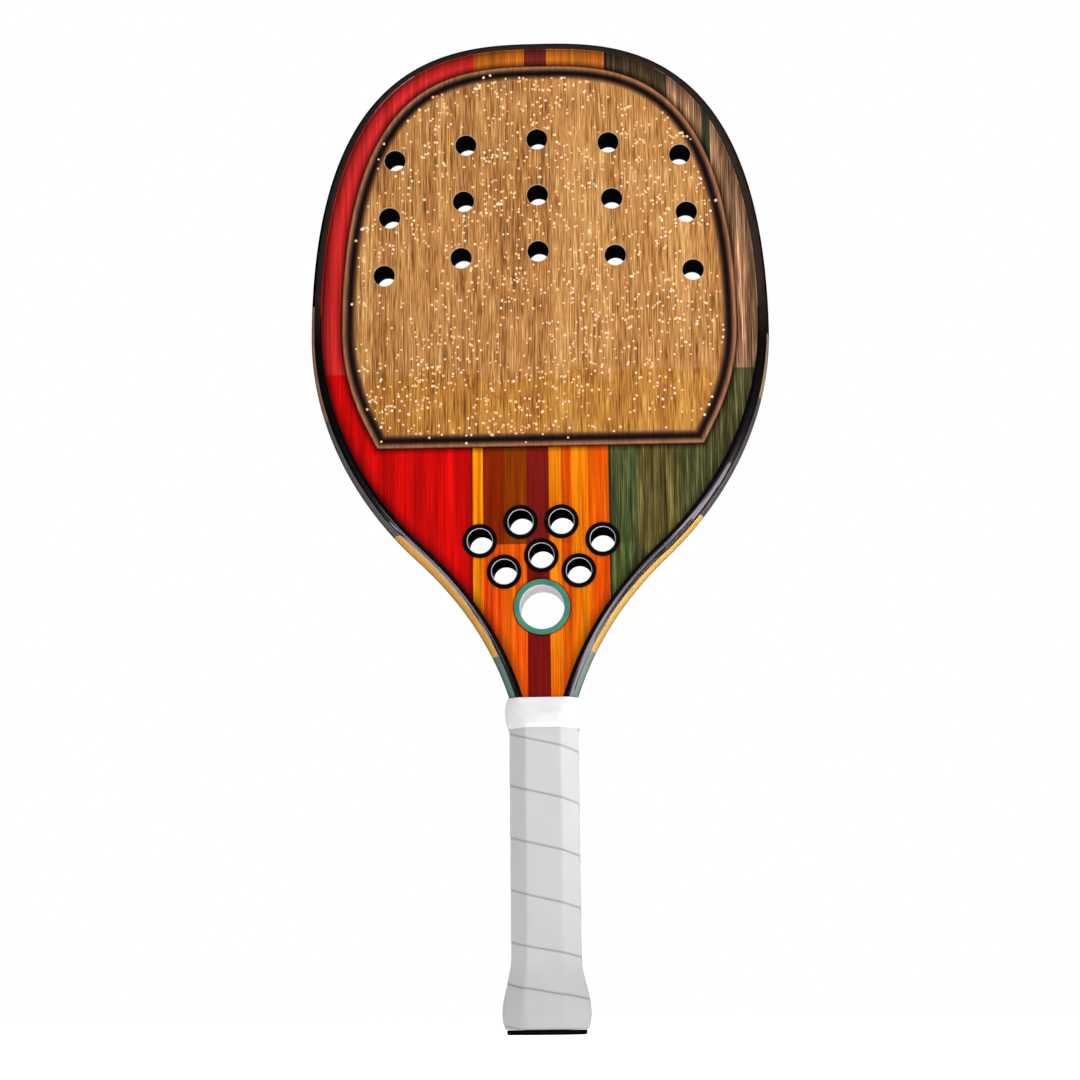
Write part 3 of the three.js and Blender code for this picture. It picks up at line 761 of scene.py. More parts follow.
bamboo = {
    "stripWidth": 7.5,
    "upperWood": [(0, "#4f2b0c"), (0.25, "#8d5824"), (0.5, "#bf8041"), (0.75, "#d69d58"), (1, "#f0c481")],
    "lowerWood": [(0, "#4c2806"), (0.25, "#8f5515"), (0.5, "#bf7c2f"), (0.75, "#d2963f"), (1, "#edbd64")],
    "sideTone": (-0.05, 0.09),
    "fibre": "#5a3210",
    "nodeMark": "#9a4d10",
    "nodeHeight": 322 * mm,
    "nodeStagger": 9 * mm,
    "edgeStops": [(0, "#4a1a0c"), (0.04, "#764428"), (0.09, "#a6704c"), (0.15, "#966644"),
                  (0.21, "#7b5436"), (0.27, "#5f3f24"), (0.33, "#3c2210"), (0.395, "#210d04"),
                  (0.465, "#140300"), (0.541, "#170602"), (0.597, "#2a1408"), (0.66, "#452812"),
                  (0.723, "#653e1f"), (0.792, "#84552b"), (0.862, "#9f6f39"), (1, "#be8445")],
    "edgeCover": (0.8, 1),
    "stripTone": (0.4, 0.6),
    "fibres": (((0.5, 1, 13), 2, 1.9), ((1.3, 1, 45), 2, 0.8), ((4, 1, 120), 1, 0.55),
               ((16, 1, 150), 1, 0.4)),
    "bundles": (((0.38, 1, 9), 0.57, 0.7), ((0.5, 1, 75), 0.6, 0.7)),
    "bundleShare": 0.85,
    "nodeBlur": 0.4 * mm,
    "nodeChosen": (0.45, 0.6, 0, 0.75),
    "nodeSize": (3.4, 1, 6),
    "nodeRange": (0.53, 0.66),
    "nodeFade": (12 * mm, 24 * mm),
    "scorchShade": (0.2, 0.8, 0.65, 1.35),
    "highlightedEdgeShare": 0.85,
    "highlightedEdgeColour": "#d3c2ac",
}


def bambooPrint():
    # Laminated bamboo, printed and satin-coated: upright strips, dark fibres, a scorched edge
    settings = {"Roughness": 0.5, "Specular IOR Level": 0.3, "Coat Weight": 0.1, "Coat Roughness": 0.3}
    material, add = newMaterial("satinBambooPrint", settings)
    b = bamboo
    across, height, flat = printPosition(add)
    order = add("Math", "DIVIDE", [across, b["stripWidth"] * mm])
    strips = add("TexVoronoi", {"voronoi_dimensions": "1D"}, {"W": order, "Scale": 1})
    luck = add("SeparateColor", None, [strips.outputs["Color"]])
    tone = add("MapRange", None, [luck.outputs["Green"], 0, 1, *b["stripTone"]])
    reach = skin["plankReach"] * mm
    aside = add("MapRange", None, [across, -reach, reach, *b["sideTone"]])
    tone = add("Math", "ADD", [tone, aside])
    for size, detail, depth in b["fibres"]:
        grain = laid(add, "TexNoise", size, flat, Detail=detail)
        level = add("Math", "SUBTRACT", [grain, 0.5])
        tone = add("Math", "MULTIPLY_ADD", [level, depth, tone])
    upper = add("ValToRGB", {"stops": b["upperWood"]}, [tone])
    lower = add("ValToRGB", {"stops": b["lowerWood"]}, [tone])
    shift = add("Math", "SUBTRACT", [luck.outputs["Red"], 0.5])
    nodeLine = add("Math", "MULTIPLY_ADD", [shift, b["nodeStagger"], b["nodeHeight"]])
    below = add("Math", "SUBTRACT", [nodeLine, height])
    isLow = add("MapRange", None, [below, -b["nodeBlur"], b["nodeBlur"], 0, 1])
    colour = add("Mix", mixed, [isLow, upper, lower])
    chosen = add("MapRange", None, [luck.outputs["Blue"], *b["nodeChosen"]])
    nodeCloud = laid(add, "TexNoise", b["nodeSize"], flat, Detail=4)
    isNode = add("MapRange", None, [nodeCloud, *b["nodeRange"], 0, 1])
    fading = add("MapRange", None, [below, *b["nodeFade"], 1, 0])
    for limit in (fading, isLow, chosen):
        isNode = add("Math", "MULTIPLY", [isNode, limit])
    colour = add("Mix", mixed, [isNode, colour, b["nodeMark"]])
    for size, low, high in b["bundles"]:
        bundles = laid(add, "TexNoise", size, flat, Detail=2, Roughness=0.6)
        lines = add("MapRange", None, [bundles, low, high, 0, b["bundleShare"]])
        colour = add("Mix", mixed, [lines, colour, b["fibre"]])
    edge = add("Attribute", {"attribute_name": "edgeDistance"}).outputs["Fac"]
    scorched = add("ValToRGB", {"stops": b["edgeStops"]}, [edge])
    shade = add("MapRange", None, [tone, *b["scorchShade"]])
    scorched = add("Mix", multiplied, [1, scorched, shade])
    cover = add("MapRange", None, [edge, *b["edgeCover"], 1, 0])
    colour = add("Mix", mixed, [cover, colour, scorched])
    # The holes' cut edges are lightened: partly the laminate's pale cut edge, partly painted highlight where
    # the bevel would catch light
    cutEdge = add("Attribute", {"attribute_name": "cutEdge"}).outputs["Fac"]
    edgeHighlight = add("Math", "MULTIPLY", [cutEdge, b["highlightedEdgeShare"]])
    colour = add("Mix", mixed, [edgeHighlight, colour, b["highlightedEdgeColour"]])
    return dressed(material, colour, (tone, 0.15, 0.08))


def isClear(x, z, reach):
    return all(math.hypot(x - centre.x, z - centre.z) > reach for centre in faceHoles)


def makePanels(material):
    p = panel
    under = halfDepth + p["bond"] / 2
    over = halfDepth + p["bond"] + p["thickness"]
    floor = over - p["grooveDepth"]
    profile = [
        (0, under),
        (0, over - p["edgeRound"]),
        (p["edgeRound"], over),
        (p["grooveStart"], over),
        (p["grooveStart"] + p["grooveWall"], floor),
        (p["grooveEnd"] - p["grooveWall"], floor),
        (p["grooveEnd"], over),
        (p["burnMiddle"], over),
    ]
    cut = p["cutRound"]
    clear = holes["faceRadius"] + 2 * cut
    middle = cut * eased
    # Rings round each hole, with how much painted highlight each carries on the cut edge
    ways = ((0, under, p["boreHighlight"]), (0, over - cut, 1), (middle, over - middle, 1), (cut, over, 0))
    for name, side, node in (("frontPanel", -1, "front_panel"), ("rearPanel", 1, "rear_panel")):
        body = Body()
        rings = []
        for inset, y in profile:
            rings.append(body.ring(atDepth(panelLoop(inset), side * y), edgeDistance=inset / p["burnEnd"]))
        body.walls(rings)
        tops = []
        backs = []
        edgePoints = atDepth([body.points[index] for index in rings[0]], side * over)
        for centre in faceHoles:
            hole = []
            for grow, y, edgeHighlight in ways:
                points = circle(centre, holes["faceRadius"] + grow, side * y, holes["segments"])
                nearest = [min((point - other).length for other in edgePoints) for point in points]
                away = [min(1, reach / p["burnEnd"]) for reach in nearest]
                hole.append(body.ring(points, edgeDistance=away, cutEdge=edgeHighlight))
            body.walls(hole)
            backs.append(hole[0])
            tops.append(hole[-1])
        field = [point for point in atDepth(panelLoop(p["burnEnd"]), side * over)
                 if isClear(point.x, point.z, clear)]
        body.fill(rings[0], backs)
        body.fill(rings[-1], tops, (), body.ring(field, edgeDistance=1))
        seat(body.piece(name, material), "panel", node)
    print("panels made")


# Grit: grains of quartz in the panel's coating

grit = {
    "count": 1520,
    "radius": (0.56 * mm, 0.92 * mm),
    "sides": 7,
    "uneven": (0.82, 1.1),
    "shoulder": (0.68, 0.44),
    "top": 0.64,
    "sunk": 0.12 * mm,
    "holeClearance": 1.6 * mm,
    "edgeInset": 1.4 * mm,
    "fieldInset": 6 * mm,
    "edgeChance": 0.14,
    "density": 0.5,
    "patches": ((24 * mm, 0.8), (7 * mm, 0.45)),
    "seed": 5,
    "tintSize": 3.1,
    "tints": [(0.3, "#ffeed2"), (0.42, "#ffdfae"), (0.55, "#ffcf8c"), (0.68, "#ffbf92")],
}


def quartzGrit():
    # Quartz sand set in varnish: small pale grains, cream to peach, that glow a little at their edges
    settings = {"Roughness": 0.45, "IOR": 1.46, "Subsurface Weight": 0.3,
                "Subsurface Radius": (0.001, 0.0008, 0.0006)}
    material, add = newMaterial("quartzSandInVarnish", settings)
    tint = laid(add, "TexNoise", grit["tintSize"], Detail=0)
    return dressed(material, add("ValToRGB", {"stops": grit["tints"]}, [tint]))


def makeGrit(material):
    g = grit
    surface = halfDepth + panel["bond"] + panel["thickness"]
    clear = holes["faceRadius"] + g["holeClearance"]
    lowest = panel["bottom"] + g["edgeInset"]
    fieldLow = panel["bottom"] + g["fieldInset"]
    for name, side in (("frontGrit", -1), ("rearGrit", 1)):
        draw = random.Random(g["seed"] + side)
        body = Body()
        made = 0
        while made < g["count"]:
            z = draw.uniform(lowest, outline["crown"])
            x = draw.uniform(-1, 1) * outline["headHalfWidth"]
            chance = draw.random()
            inField = z > fieldLow and abs(x) < halfWidthAt(z, panelInset(g["fieldInset"]))
            density = g["density"]
            for size, weight in g["patches"]:
                density += weight * noise.noise(Vector((x, side, z)) / size)
            if chance > density * (1 if inField else g["edgeChance"]):
                continue
            if abs(x) > halfWidthAt(z, panelInset(g["edgeInset"])):
                continue
            if not isClear(x, z, clear):
                continue
            radius = draw.uniform(*g["radius"])
            addGrain(body, Vector((x, side * (surface - g["sunk"]), z)), radius, side, draw)
            made += 1
        piece = body.piece(name, material, 60)
        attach(piece, "root")
    print("grit made")


# One grain: a low, uneven dome with a flat underside
def addGrain(body, centre, radius, side, draw):
    g = grit
    start = draw.uniform(0, 2 * math.pi)
    out = Vector((0, side * radius, 0))
    foot = []
    shoulder = []
    for i in range(g["sides"]):
        angle = start + 2 * math.pi * i / g["sides"]
        reach = radius * draw.uniform(*g["uneven"])
        way = Vector((math.cos(angle), 0, math.sin(angle)))
        foot.append(centre + way * reach)
        shoulder.append(centre + way * reach * g["shoulder"][0] + out * g["shoulder"][1])
    low = body.ring(foot)
    high = body.ring(shoulder)
    body.wall(low, high)
    body.faces.append(tuple(low))
    top = body.ring([centre + out * g["top"]])[0]
    for i in range(g["sides"]):
        body.faces.append((high[i], high[(i + 1) % g["sides"]], top))


# Eyelets, port liner and port rings: moulded and pressed in

trim = {
    "eyeletBore": 6.1 * mm,
    "eyeletWall": 0.85 * mm,
    "eyeletFlange": 8.5 * mm,
    "eyeletLip": 0.5 * mm,
    "eyeletRound": 0.45 * mm,
    "eyeletLine": 0.15 * mm,
    "highlightRings": (0, 6),
    "portBore": 11 * mm,
    "portWall": 1 * mm,
    "portFlange": 13.7 * mm,
    "portLip": 0.7 * mm,
    "portRound": 0.3 * mm,
    "bond": 0.05 * mm,
    "rise": 0.1 * mm,
    "segments": 96,
    "nylonMottle": 1.5,
    "nylonColours": ("#050405", "#0c0b0c"),
    "highlightedEdgeColour": "#cfd0d6",
    "absFlow": 9,
    "absRange": (0.35, 0.65),
}


def mouldedNylon():
    # Nylon 6, moulded with a satin mould: even black, with a thin pale line painted on its inner edge as a
    # highlight
    settings = {"Roughness": 0.35, "IOR": 1.53, "Specular IOR Level": 0.3}
    material, add = newMaterial("nylonMouldedBlack", settings)
    tone = laid(add, "TexNoise", trim["nylonMottle"], Detail=2)
    colour = add("Mix", mixed, [tone, *trim["nylonColours"]])
    # Painted highlight on the rounded inner edge of the bore
    polish = add("Attribute", {"attribute_name": "polish"}).outputs["Fac"]
    colour = add("Mix", mixed, [polish, colour, trim["highlightedEdgeColour"]])
    return dressed(material, colour, (tone, 0.05, 0.03))


def mouldedAbs(name, low, high):
    # ABS from a polished mould: clean and slightly glossy, with faint flow marks
    material, add = newMaterial(name, {"Roughness": 0.35, "IOR": 1.54, "Specular IOR Level": 0.35})
    flow = laid(add, "TexNoise", trim["absFlow"], Detail=2)
    share = add("MapRange", None, [flow, *trim["absRange"], 0, 1])
    colour = add("Mix", mixed, [share, low, high])
    return dressed(material, colour, (flow, 0.05, 0.03))


def makeEyelets(material):
    t = trim
    barrel = t["eyeletBore"] + t["eyeletWall"]
    under = halfDepth + t["bond"]
    over = halfDepth + t["rise"] + t["eyeletLip"]
    soft = t["eyeletRound"]
    thin = t["eyeletLine"]
    half = [(t["eyeletBore"], over - soft - thin)]
    half += rounding((t["eyeletBore"] + soft, over - soft), soft, 180, 90, 6)
    half += rounding((t["eyeletFlange"] - thin, over - thin), thin, 90, 0, 3)
    half += [(t["eyeletFlange"], under), (barrel, under)]
    profile = half + [(radius, -y) for radius, y in reversed(half)]
    for number, (node, centre) in enumerate(zip(eyeletNodes, eyeletCentres), 1):
        piece = turned(f"neckEyelet{number}", centre, profile, t["segments"], material, 40, t["highlightRings"])
        seat(piece, "eyelet", node)
    print("eyelets made")


def makePort(linerMaterial, ringMaterial):
    t = trim
    outer = t["portBore"] + t["portWall"]
    liner = [(t["portBore"], -halfDepth), (outer, -halfDepth)]
    liner += [(radius, -y) for radius, y in reversed(liner)]
    seat(turned("portLiner", portCentre, liner, t["segments"], linerMaterial), "port_liner", "port_liner")
    under = halfDepth + t["bond"]
    over = halfDepth + t["rise"] + t["portLip"]
    soft = t["portRound"]
    ring = [(t["portBore"], under), (t["portFlange"], under)]
    ring += rounding((t["portFlange"] - soft, over - soft), soft, 0, 90, 4)
    ring += rounding((t["portBore"] + soft, over - soft), soft, 90, 180, 4)
    rings = (("portRingFront", -1, "port_ring_front"), ("portRingRear", 1, "port_ring_rear"))
    for name, side, node in rings:
        profile = [(radius, side * y) for radius, y in ring]
        seat(turned(name, portCentre, profile, t["segments"], ringMaterial, 40), "port_ring", node)
    print("port made")


# Grip: tape wound over the pallets, an elastic collar and a butt cap

grip = {
    "halfWidth": 16.7 * mm,
    "halfThrough": 15.2 * mm,
    "cut": 8 * mm,
    "edgeRadius": 2.6 * mm,
    "cornerSteps": 6,
    "sideSteps": 3,
    "bottom": 2.5 * mm,
    "flareRise": 4.45 * mm,
    "flareTop": 37 * mm,
    "flarePeak": 9 * mm,
    "buttTuck": 1.5 * mm,
}


# How far the butt's flare stands out beyond the straight grip
def flareAt(height):
    g = grip
    if height >= g["flareTop"]:
        return 0
    if height >= g["flarePeak"]:
        share = (height - g["flarePeak"]) / (g["flareTop"] - g["flarePeak"])
        return g["flareRise"] * (1 + math.cos(math.pi * share)) / 2
    share = (g["flarePeak"] - height) / (g["flarePeak"] - g["bottom"])
    return g["flareRise"] - g["buttTuck"] * share * share


# Octagon with rounded edges, from the left side's front edge round by the front
def roundedOctagon(halfWidth, halfThrough, cut, radius):
    corners = [(-halfWidth, cut - halfThrough), (cut - halfWidth, -halfThrough)]
    corners += [(-x, y) for x, y in reversed(corners)]
    corners += [(-x, -y) for x, y in corners]
    corners = [Vector((x, y, 0)) for x, y in corners]
    points = []
    back = radius * math.tan(math.radians(22.5))
    for i, corner in enumerate(corners):
        before = (corners[i - 1] - corner).normalized()
        after = (corners[(i + 1) % len(corners)] - corner).normalized()
        start, end = corner + before * back, corner + after * back
        for step in range(grip["cornerSteps"] + 1):
            share = step / grip["cornerSteps"]
            points.append(start.lerp(corner, share).lerp(corner.lerp(end, share), share))
        following = corners[(i + 1) % len(corners)] - after * back
        for step in range(1, grip["sideSteps"]):
            points.append(end.lerp(following, step / grip["sideSteps"]))
    return points


def grownCut(cut, growth):
    return cut + growth * (2 - math.sqrt(2))


def gripLoop(growth):
    g = grip
    cut = grownCut(g["cut"], growth)
    return roundedOctagon(g["halfWidth"] + growth, g["halfThrough"] + growth, cut, g["edgeRadius"] + growth)


tape = {
    "thickness": 1.7 * mm,
    "lap": 0.16 * mm,
    "tuck": 0.14 * mm,
    "gap": 0.06 * mm,
    "edgeRound": 0.2 * mm,
    "roundShares": (0.15, 0.4, 1),
    # How far the painted seam shade reaches in from each edge of the tape
    "seamShadeReach": 1.1 * mm,
    "least": 0.01 * mm,
    "seamStart": gripTop - 3.2 * mm,
    "pitch": 24.93 * mm,
    "buttPitch": 19.6 * mm,
    "fullTurns": 4,
    "buttTurns": 2,
    "tailShare": 0.12,
    "levels": 12,
    "wave": 0.06 * mm,
    "waveSize": 14 * mm,
    "mottle": (13, 13, 18),
    "pebble": 0.7,
    "colours": ("#cbcccb", "#d8d6d8"),
    "buttShadeTint": "#f8f7f8",
    # Painted shade at the tape's lapped edges: its tint, and its strength at points of the section
    "seamShadeTint": "#d2d1d4",
    "seamShades": ((3, 1), (4, 0.6), (-4, 0.6), (-3, 0.8), (-2, 0.8), (-1, 1)),
}


def tackyPolyurethane():
    # Polyurethane grip tape, coated and embossed: soft pale grey, matt, a faint pebble, with painted shade
    # at its lapped edges and towards the butt
    settings = {"Roughness": 0.62, "IOR": 1.5, "Specular IOR Level": 0.35,
                "Sheen Weight": 0.1, "Sheen Roughness": 0.5}
    material, add = newMaterial("polyurethaneTapeEmbossed", settings)
    place = add("TexCoord").outputs["Object"]
    cloud = laid(add, "TexNoise", tape["mottle"], place, Detail=3)
    colour = add("Mix", mixed, [cloud, *tape["colours"]])
    height = add("SeparateXYZ", None, [place]).outputs["Z"]
    # Painted shade: the tape darkens towards the butt
    buttShade = add("MapRange", None, [height, grip["bottom"], grip["flareTop"], 1, 0])
    colour = add("Mix", multiplied, [buttShade, colour, tape["buttShadeTint"]])
    # Painted shade along the tape's lapped edges, where the seams fall in shadow
    edge = add("Attribute", {"attribute_name": "tapeEdge"}).outputs["Fac"]
    colour = add("Mix", multiplied, [edge, colour, tape["seamShadeTint"]])
    pebble = laid(add, "TexVoronoi", tape["pebble"], place)
    return dressed(material, colour, (pebble, 0.12, 0.08))


def seamHeight(turn):
    t = tape
    full = min(turn, t["fullTurns"])
    return t["seamStart"] - t["pitch"] * full - t["buttPitch"] * max(0, turn - t["fullTurns"])


def clampToGrip(height):
    return min(max(height, grip["bottom"]), gripTop)


# The tape's outer surface stands proud at its lower edge, where it laps over the turn below
def tapeProfile(low, high):
    t = tape
    reach = max(high - low, t["least"])
    soft = min(t["edgeRound"], reach / 4)
    stations = [(0, -soft)] + [(soft * share, -soft * (1 - share) ** 2) for share in t["roundShares"]]
    seamShade = min(t["seamShadeReach"], reach / 3)
    stations += [(seamShade + (reach - 2 * seamShade) * i / t["levels"], 0) for i in range(t["levels"] + 1)]
    stations += [(reach - soft, 0), (reach, -t["tuck"])]
    outer = []
    for up, drop in stations:
        share = up / reach
        lap = t["lap"] * (1 - share) ** 1.5 - t["lap"] / 2
        outer.append((low + up, lap + drop))
    inner = [(low, -t["thickness"]), ((low + high) / 2, -t["thickness"]), (high, -t["thickness"])]
    return inner, list(reversed(outer))


def makeTape(material):
    t = tape
    body = Body()
    loop = gripLoop(0)
    count = len(loop)
    lengths = [0]
    for i in range(count):
        lengths.append(lengths[-1] + (loop[(i + 1) % count] - loop[i]).length)
    rings = []
    last = math.ceil((t["fullTurns"] + t["buttTurns"] + t["tailShare"]) * count)
    for station in range(-count, last):
        corner = station % count
        turn = station // count + lengths[corner] / lengths[-1]
        low = clampToGrip(seamHeight(turn + 1) + t["gap"])
        high = clampToGrip(seamHeight(turn))
        inner, outer = tapeProfile(low, high)
        points = []
        for height, growth in inner + outer:
            point = gripLoop(growth + flareAt(height))[corner]
            if growth > -t["thickness"]:
                swell = t["wave"] * noise.noise(Vector((point.x, point.y, height)) / t["waveSize"])
                point = point + Vector((point.x, point.y, 0)).normalized() * swell
            points.append(Vector((point.x, point.y, height)))
        edges = [0] * len(points)
        for place, seamShade in t["seamShades"]:
            edges[place] = seamShade
        rings.append(body.ring(points, tapeEdge=edges))
    body.walls(rings)
    body.faces.append(tuple(rings[0]))
    body.faces.append(tuple(rings[-1]))
    seat(body.piece("gripTape", material, 50), "tape", "grip_tape")
    print("tape wound")


collar = {
    "wall": 0.45 * mm,
    "gap": 0.15 * mm,
    "bulge": 1.1 * mm,
    "lean": 0.45,
    "throatGap": 0.35 * mm,
    "throatRoom": 0.9 * mm,
    "throatCut": 4.6 * mm,
    "edgeRadius": 4.2 * mm,
    "softening": 6 * mm,
    "levels": 36,
    "rolls": 4,
    "wrinkle": 0.28 * mm,
    "folds": ((14, 2.4, 1), (6, 1.3, 0.5)),
    "mottle": (9, 9, 3),
    "stretch": (6, 6, 0.9),
    "colours": ("#eceaee", "#fbfafb"),
}


def softElastic():
    # Silicone rubber band, moulded: clean white, soft light, fine stretch wrinkles
    settings = {"Roughness": 0.5, "IOR": 1.43, "Subsurface Weight": 0.15,
                "Subsurface Radius": (0.002, 0.0018, 0.0016)}
    material, add = newMaterial("siliconeBandMoulded", settings)
    place = add("TexCoord").outputs["Object"]
    cloud = laid(add, "TexNoise", collar["mottle"], place, Detail=3)
    colour = add("Mix", mixed, [cloud, *collar["colours"]])
    folds = laid(add, "TexNoise", collar["stretch"], place, Detail=3)
    return dressed(material, colour, (folds, 0.25, 0.2))


def makeCollar(material):
    c = collar
    low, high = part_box("grip_collar")
    gap = c["gap"]
    atGrip = (grip["halfWidth"] + gap, grip["halfThrough"] + gap, grownCut(grip["cut"], gap),
              grip["edgeRadius"] + gap)
    atThroat = (halfWidthAt(high.z, lambda height: 0) + c["throatGap"], halfDepth + c["throatRoom"],
                c["throatCut"], c["edgeRadius"])

    def loopAt(height, growth, softer=0):
        share = smooth((height - gripTop) / (high.z - gripTop))
        halfWidth, halfThrough, cut, radius = (a * (1 - share) + b * share for a, b in zip(atGrip, atThroat))
        return roundedOctagon(halfWidth + growth, halfThrough + growth, grownCut(cut, growth),
                              radius + growth + softer)

    body = Body()
    outer = []
    inner = []
    edge = c["wall"] / 2
    for i in range(c["levels"] + 1):
        share = i / c["levels"]
        height = low.z + edge + (high.z - low.z - 2 * edge) * share
        swell = c["bulge"] * math.sin(math.pi * share) ** 0.8
        ring = []
        for point in loopAt(height, c["wall"], c["softening"] * math.sin(math.pi * share)):
            way = Vector((point.x, point.y, 0)).normalized()
            place = Vector((point.x, point.y, height)) + way * swell * (1 - c["lean"] * way.x)
            fold = 0
            for wide, tall, weight in c["folds"]:
                fold += weight * noise.noise(Vector((point.x / wide, point.y / wide, height / tall)) / mm)
            ring.append(place + way * c["wrinkle"] * fold * math.sin(math.pi * share))
        outer.append(body.ring(ring))
        inner.append(body.ring(atHeight(loopAt(height, 0), height)))
    roll = [math.pi * i / c["rolls"] for i in range(1, c["rolls"])]

    def edgeRings(height, out):
        rings = []
        for angle in roll:
            growth = c["wall"] * (1 + math.cos(angle)) / 2
            level = height + out * edge * math.sin(angle)
            rings.append(body.ring(atHeight(loopAt(height, growth), level)))
        return rings

    top = edgeRings(high.z - edge, 1)
    bottom = edgeRings(low.z + edge, -1)
    body.walls(outer + top + list(reversed(inner)) + list(reversed(bottom)) + outer[:1])
    seat(body.piece("gripCollar", material, 60), "collar", "grip_collar")
    print("collar made")


cap = {
    "thickness": 2.2 * mm,
    "inset": 0.7 * mm,
    "round": 0.9 * mm,
    "roundSteps": 6,
    "plugTop": 10 * mm,
    "plugHalfWidth": 11 * mm,
    "plugPowers": (0.6, 0.85),
    "plugPlay": 0.97,
    "mottle": 2,
    "spark": 0.25,
    "colours": ("#070708", "#101012"),
}


def mouldedCap():
    # Polypropylene, moulded with a fine spark texture: black and slightly dull
    settings = {"Roughness": 0.5, "IOR": 1.49, "Specular IOR Level": 0.3}
    material, add = newMaterial("polypropyleneSparkTextured", settings)
    place = add("TexCoord").outputs["Object"]
    tone = laid(add, "TexNoise", cap["mottle"], place, Detail=2)
    colour = add("Mix", mixed, [tone, *cap["colours"]])
    spark = laid(add, "TexNoise", cap["spark"], place, Detail=2)
    return dressed(material, colour, (spark, 0.3, 0.05))


def makeCap(material):
    c = cap
    body = Body()
    flare = flareAt(grip["bottom"])
    rings = []
    for i in range(c["roundSteps"] + 1):
        angle = math.pi / 2 * i / c["roundSteps"]
        growth = flare - c["inset"] - c["round"] * (1 - math.sin(angle))
        height = c["round"] * (1 - math.cos(angle))
        rings.append(body.ring(atHeight(gripLoop(growth), height)))
    rings.append(body.ring(atHeight(gripLoop(flare - c["inset"]), c["thickness"])))
    plug = []
    for point in gripLoop(0):
        angle = math.atan2(point.y / halfDepth, point.x / c["plugHalfWidth"])
        across, through = math.cos(angle), math.sin(angle)
        x = c["plugHalfWidth"] * math.copysign(abs(across) ** c["plugPowers"][0], across)
        y = halfDepth * math.copysign(abs(through) ** c["plugPowers"][1], through)
        plug.append(Vector((x, y, 0)) * c["plugPlay"])
    for height in (c["thickness"], c["plugTop"]):
        rings.append(body.ring(atHeight(plug, height)))
    body.walls(rings)
    body.faces.append(tuple(rings[0]))
    body.faces.append(tuple(rings[-1]))
    seat(body.piece("buttCap", material, 35), "cap", "butt_cap")
    print("cap made")


pallet = {
    "mottle": 1.2,
    "colours": ("#242426", "#343437"),
}


def palletFoam():
    # Rigid polyurethane foam, moulded with a tight skin: dark grey and dull
    settings = {"Roughness": 0.8, "Specular IOR Level": 0.3}
    material, add = newMaterial("polyurethaneFoamMoulded", settings)
    tone = laid(add, "TexNoise", pallet["mottle"], Detail=3)
    colour = add("Mix", mixed, [tone, *pallet["colours"]])
    return dressed(material, colour, (tone, 0.2, 0.1))


def dressPallets(material):
    for node in ("handle_pallet_front", "handle_pallet_rear"):
        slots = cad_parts[node].data.materials
        slots.clear()
        slots.append(material)
    print("pallets dressed")


# Camera: low and a little to the right, looking up at the head

shot = {
    "place": (40 * mm, -1184 * mm, 12 * mm),
    "pitch": math.radians(10.892),
    "yaw": math.radians(1.983),
    "roll": math.radians(-0.634),
    "lens": 81.262,
    "sensor": 36,
}


def placeCamera():
    s = shot
    ahead = Vector((-math.sin(s["yaw"]) * math.cos(s["pitch"]), math.cos(s["yaw"]) * math.cos(s["pitch"]),
                    math.sin(s["pitch"])))
    right = ahead.cross(Vector((0, 0, 1))).normalized()
    up = right.cross(ahead)
    across = math.cos(s["roll"]) * right + math.sin(s["roll"]) * up
    above = -math.sin(s["roll"]) * right + math.cos(s["roll"]) * up
    data = bpy.data.cameras.new("camera")
    data.lens = s["lens"]
    data.sensor_width = s["sensor"]
    camera = bpy.data.objects.new("camera", data)
    turn = Matrix((across, above, -ahead)).transposed().to_4x4()
    camera.matrix_world = Matrix.Translation(s["place"]) @ turn
    bpy.context.scene.collection.objects.link(camera)
    bpy.context.scene.camera = camera
    print("camera placed")


# Studio: a pale floor and soft lights; the low ones are cards seen only as reflections in the rim

studio = {
    "floorRadius": 3,
    "floorColours": ("#f4f4f4", "#fafafa"),
    "floorMottle": 400,
    "target": (0, 0, 0.27),
    "lights": {  # place, size and power
        "keyRight": (1.15, -1.25, 0.75, 0.9, 1.3, 10.2),
        "fillLeft": (-1.3, -1.0, 0.6, 0.9, 1.3, 1.9),
        "overhead": (0, -1.0, 2.0, 1.4, 1.4, 10.7),
        "backLeft": (-1.2, 1.7, 0.9, 1.6, 1.6, 7),
        "backRight": (1.3, 1.7, 0.8, 1.6, 1.6, 7),
        "backMiddle": (0, 2.2, 1.0, 0.5, 0.9, 2),
        "lowRightInner": (0.395, -0.12, 0.02, 0.13, 0.46, 1.5),
        "lowRight": (0.585, -0.12, 0.02, 0.25, 0.46, 2),
        "lowRightFar": (0.835, -0.12, 0.02, 0.25, 0.7, 2.7),
        "lowRightNear": (0.53, -0.675, 0.02, 0.18, 0.65, 2.8),
        "lowRightFront": (0.75, -1.4, 0.02, 0.35, 0.8, 5),
        "lowLeft": (-0.49, -0.2, 0.02, 0.05, 0.3, 0.26),
        "lowLeftInner": (-0.385, -0.17, 0.02, 0.09, 0.3, 0.42),
        "lowLeftNear": (-0.47, -0.54, 0.02, 0.1, 0.32, 0.75),
        "lowLeftFront": (-0.75, -1.3, 0.02, 0.3, 0.7, 5),
        "bounceRight": (0.53, -0.06, 0.02, 0.56, 0.32, 3.6),
    },
    "lowColour": (1, 0.86, 1),
    "backdrop": 1,
    "ambient": 0.28,
    "floorGlow": 0.49,
    "floorGlowSeen": 0.9,
}


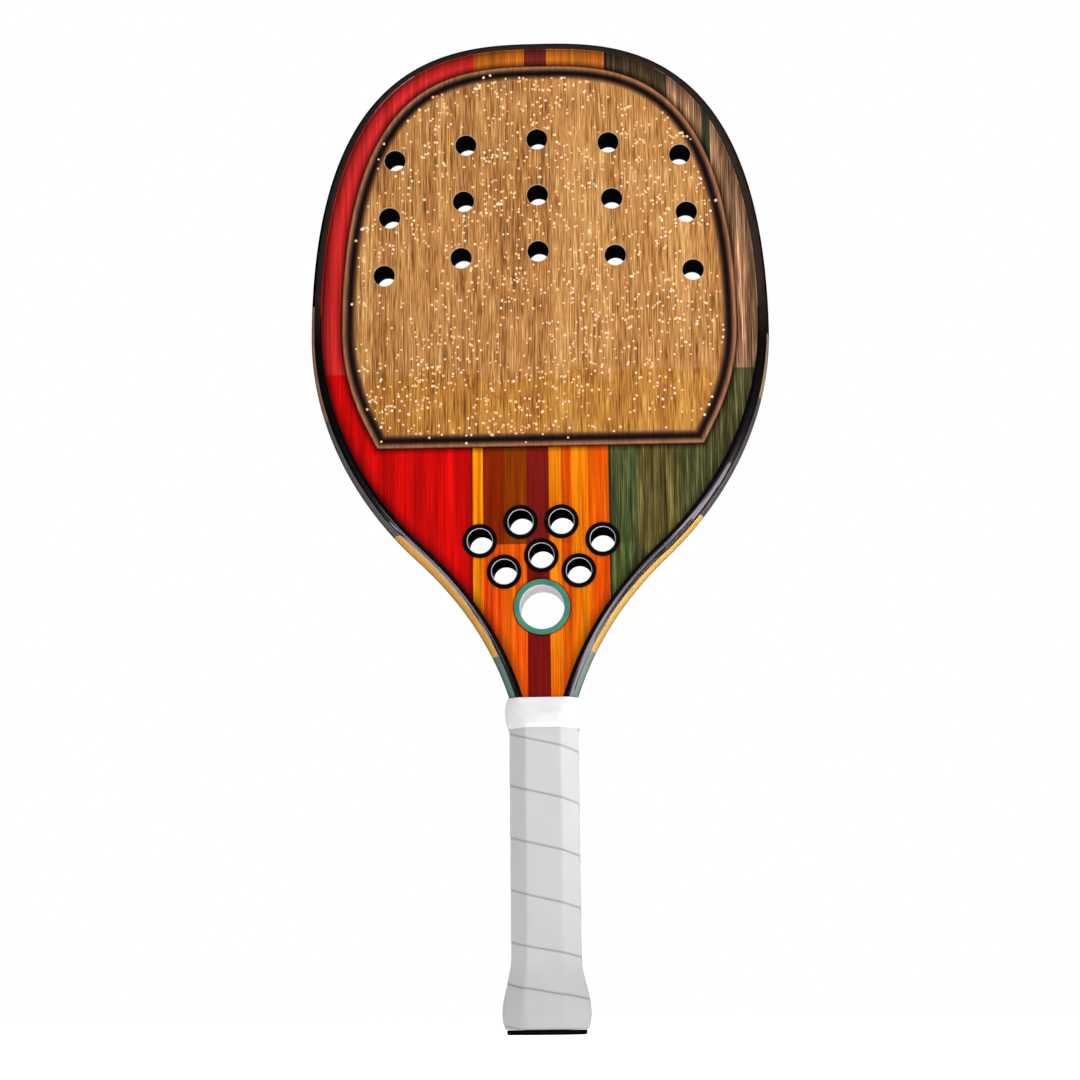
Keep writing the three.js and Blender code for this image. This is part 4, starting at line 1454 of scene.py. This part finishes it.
def lightStudio():
    s = studio
    bpy.ops.mesh.primitive_circle_add(vertices=128, radius=s["floorRadius"], fill_type="NGON")
    floor = bpy.context.object
    floor.name = "studioFloor"
    settings = {"Roughness": 0.9, "Specular IOR Level": 0.1, "Emission Color": (1, 1, 1, 1)}
    material, add = newMaterial("paintedFloor", settings)
    tone = laid(add, "TexNoise", s["floorMottle"], Detail=2)
    seen = add("LightPath").outputs["Is Camera Ray"]
    glow = add("MapRange", None, [seen, 0, 1, s["floorGlow"], s["floorGlowSeen"]])
    floor.data.materials.append(dressed(material, add("Mix", mixed, [tone, *s["floorColours"]]), None, glow))
    floor.visible_glossy = False
    for name, (x, y, z, wide, deep, power) in s["lights"].items():
        data = bpy.data.lights.new(name, "AREA")
        data.shape = "RECTANGLE"
        data.size, data.size_y, data.energy = wide, deep, power
        isLow = name.startswith("low")
        data.color = s["lowColour"] if isLow else (1, 1, 1)
        lamp = bpy.data.objects.new(name, data)
        place = Vector((x, y, z))
        aim = place + Vector((0, 0, 1)) if isLow or name == "bounceRight" else Vector(s["target"])
        turn = (place - aim).to_track_quat("Z", "Y").to_matrix().to_4x4()
        lamp.matrix_world = Matrix.Translation(place) @ turn
        lamp.visible_camera = False
        lamp.visible_glossy = isLow or name == "backMiddle"
        lamp.visible_diffuse = not isLow
        bpy.context.scene.collection.objects.link(lamp)
    world = bpy.data.worlds.new("studio")
    world.use_nodes = True
    tree = world.node_tree
    add = partial(addNode, tree)
    cast = tree.nodes["Background"]
    cast.inputs["Color"].default_value = (1, 1, 1, 1)
    cast.inputs["Strength"].default_value = s["ambient"]
    seen = add("LightPath").outputs["Is Camera Ray"]
    backdrop = add("Background", None, {"Color": (1, 1, 1, 1), "Strength": s["backdrop"]})
    sky = add("MixShader", None, [seen, cast, backdrop])
    feed(tree, tree.nodes["World Output"].inputs["Surface"], sky)
    world.cycles_visibility.glossy = False
    bpy.context.scene.world = world
    bpy.context.scene.view_settings.view_transform = "Standard"
    print("studio lit")


placeCamera()
lightStudio()
makeFrameTube(clearCoatedPaint())
makeCore(closedCellFoam())
makeSkins(stainedWoodPrint())
makePanels(bambooPrint())
makeGrit(quartzGrit())
makeEyelets(mouldedNylon())
linerMaterial = mouldedAbs("absMouldedWhite", "#f4eff3", "#fbf8fa")
makePort(linerMaterial, mouldedAbs("absMouldedTeal", "#3f7f74", "#4f9274"))
dressPallets(palletFoam())
makeTape(tackyPolyurethane())
makeCollar(softElastic())
makeCap(mouldedCap())
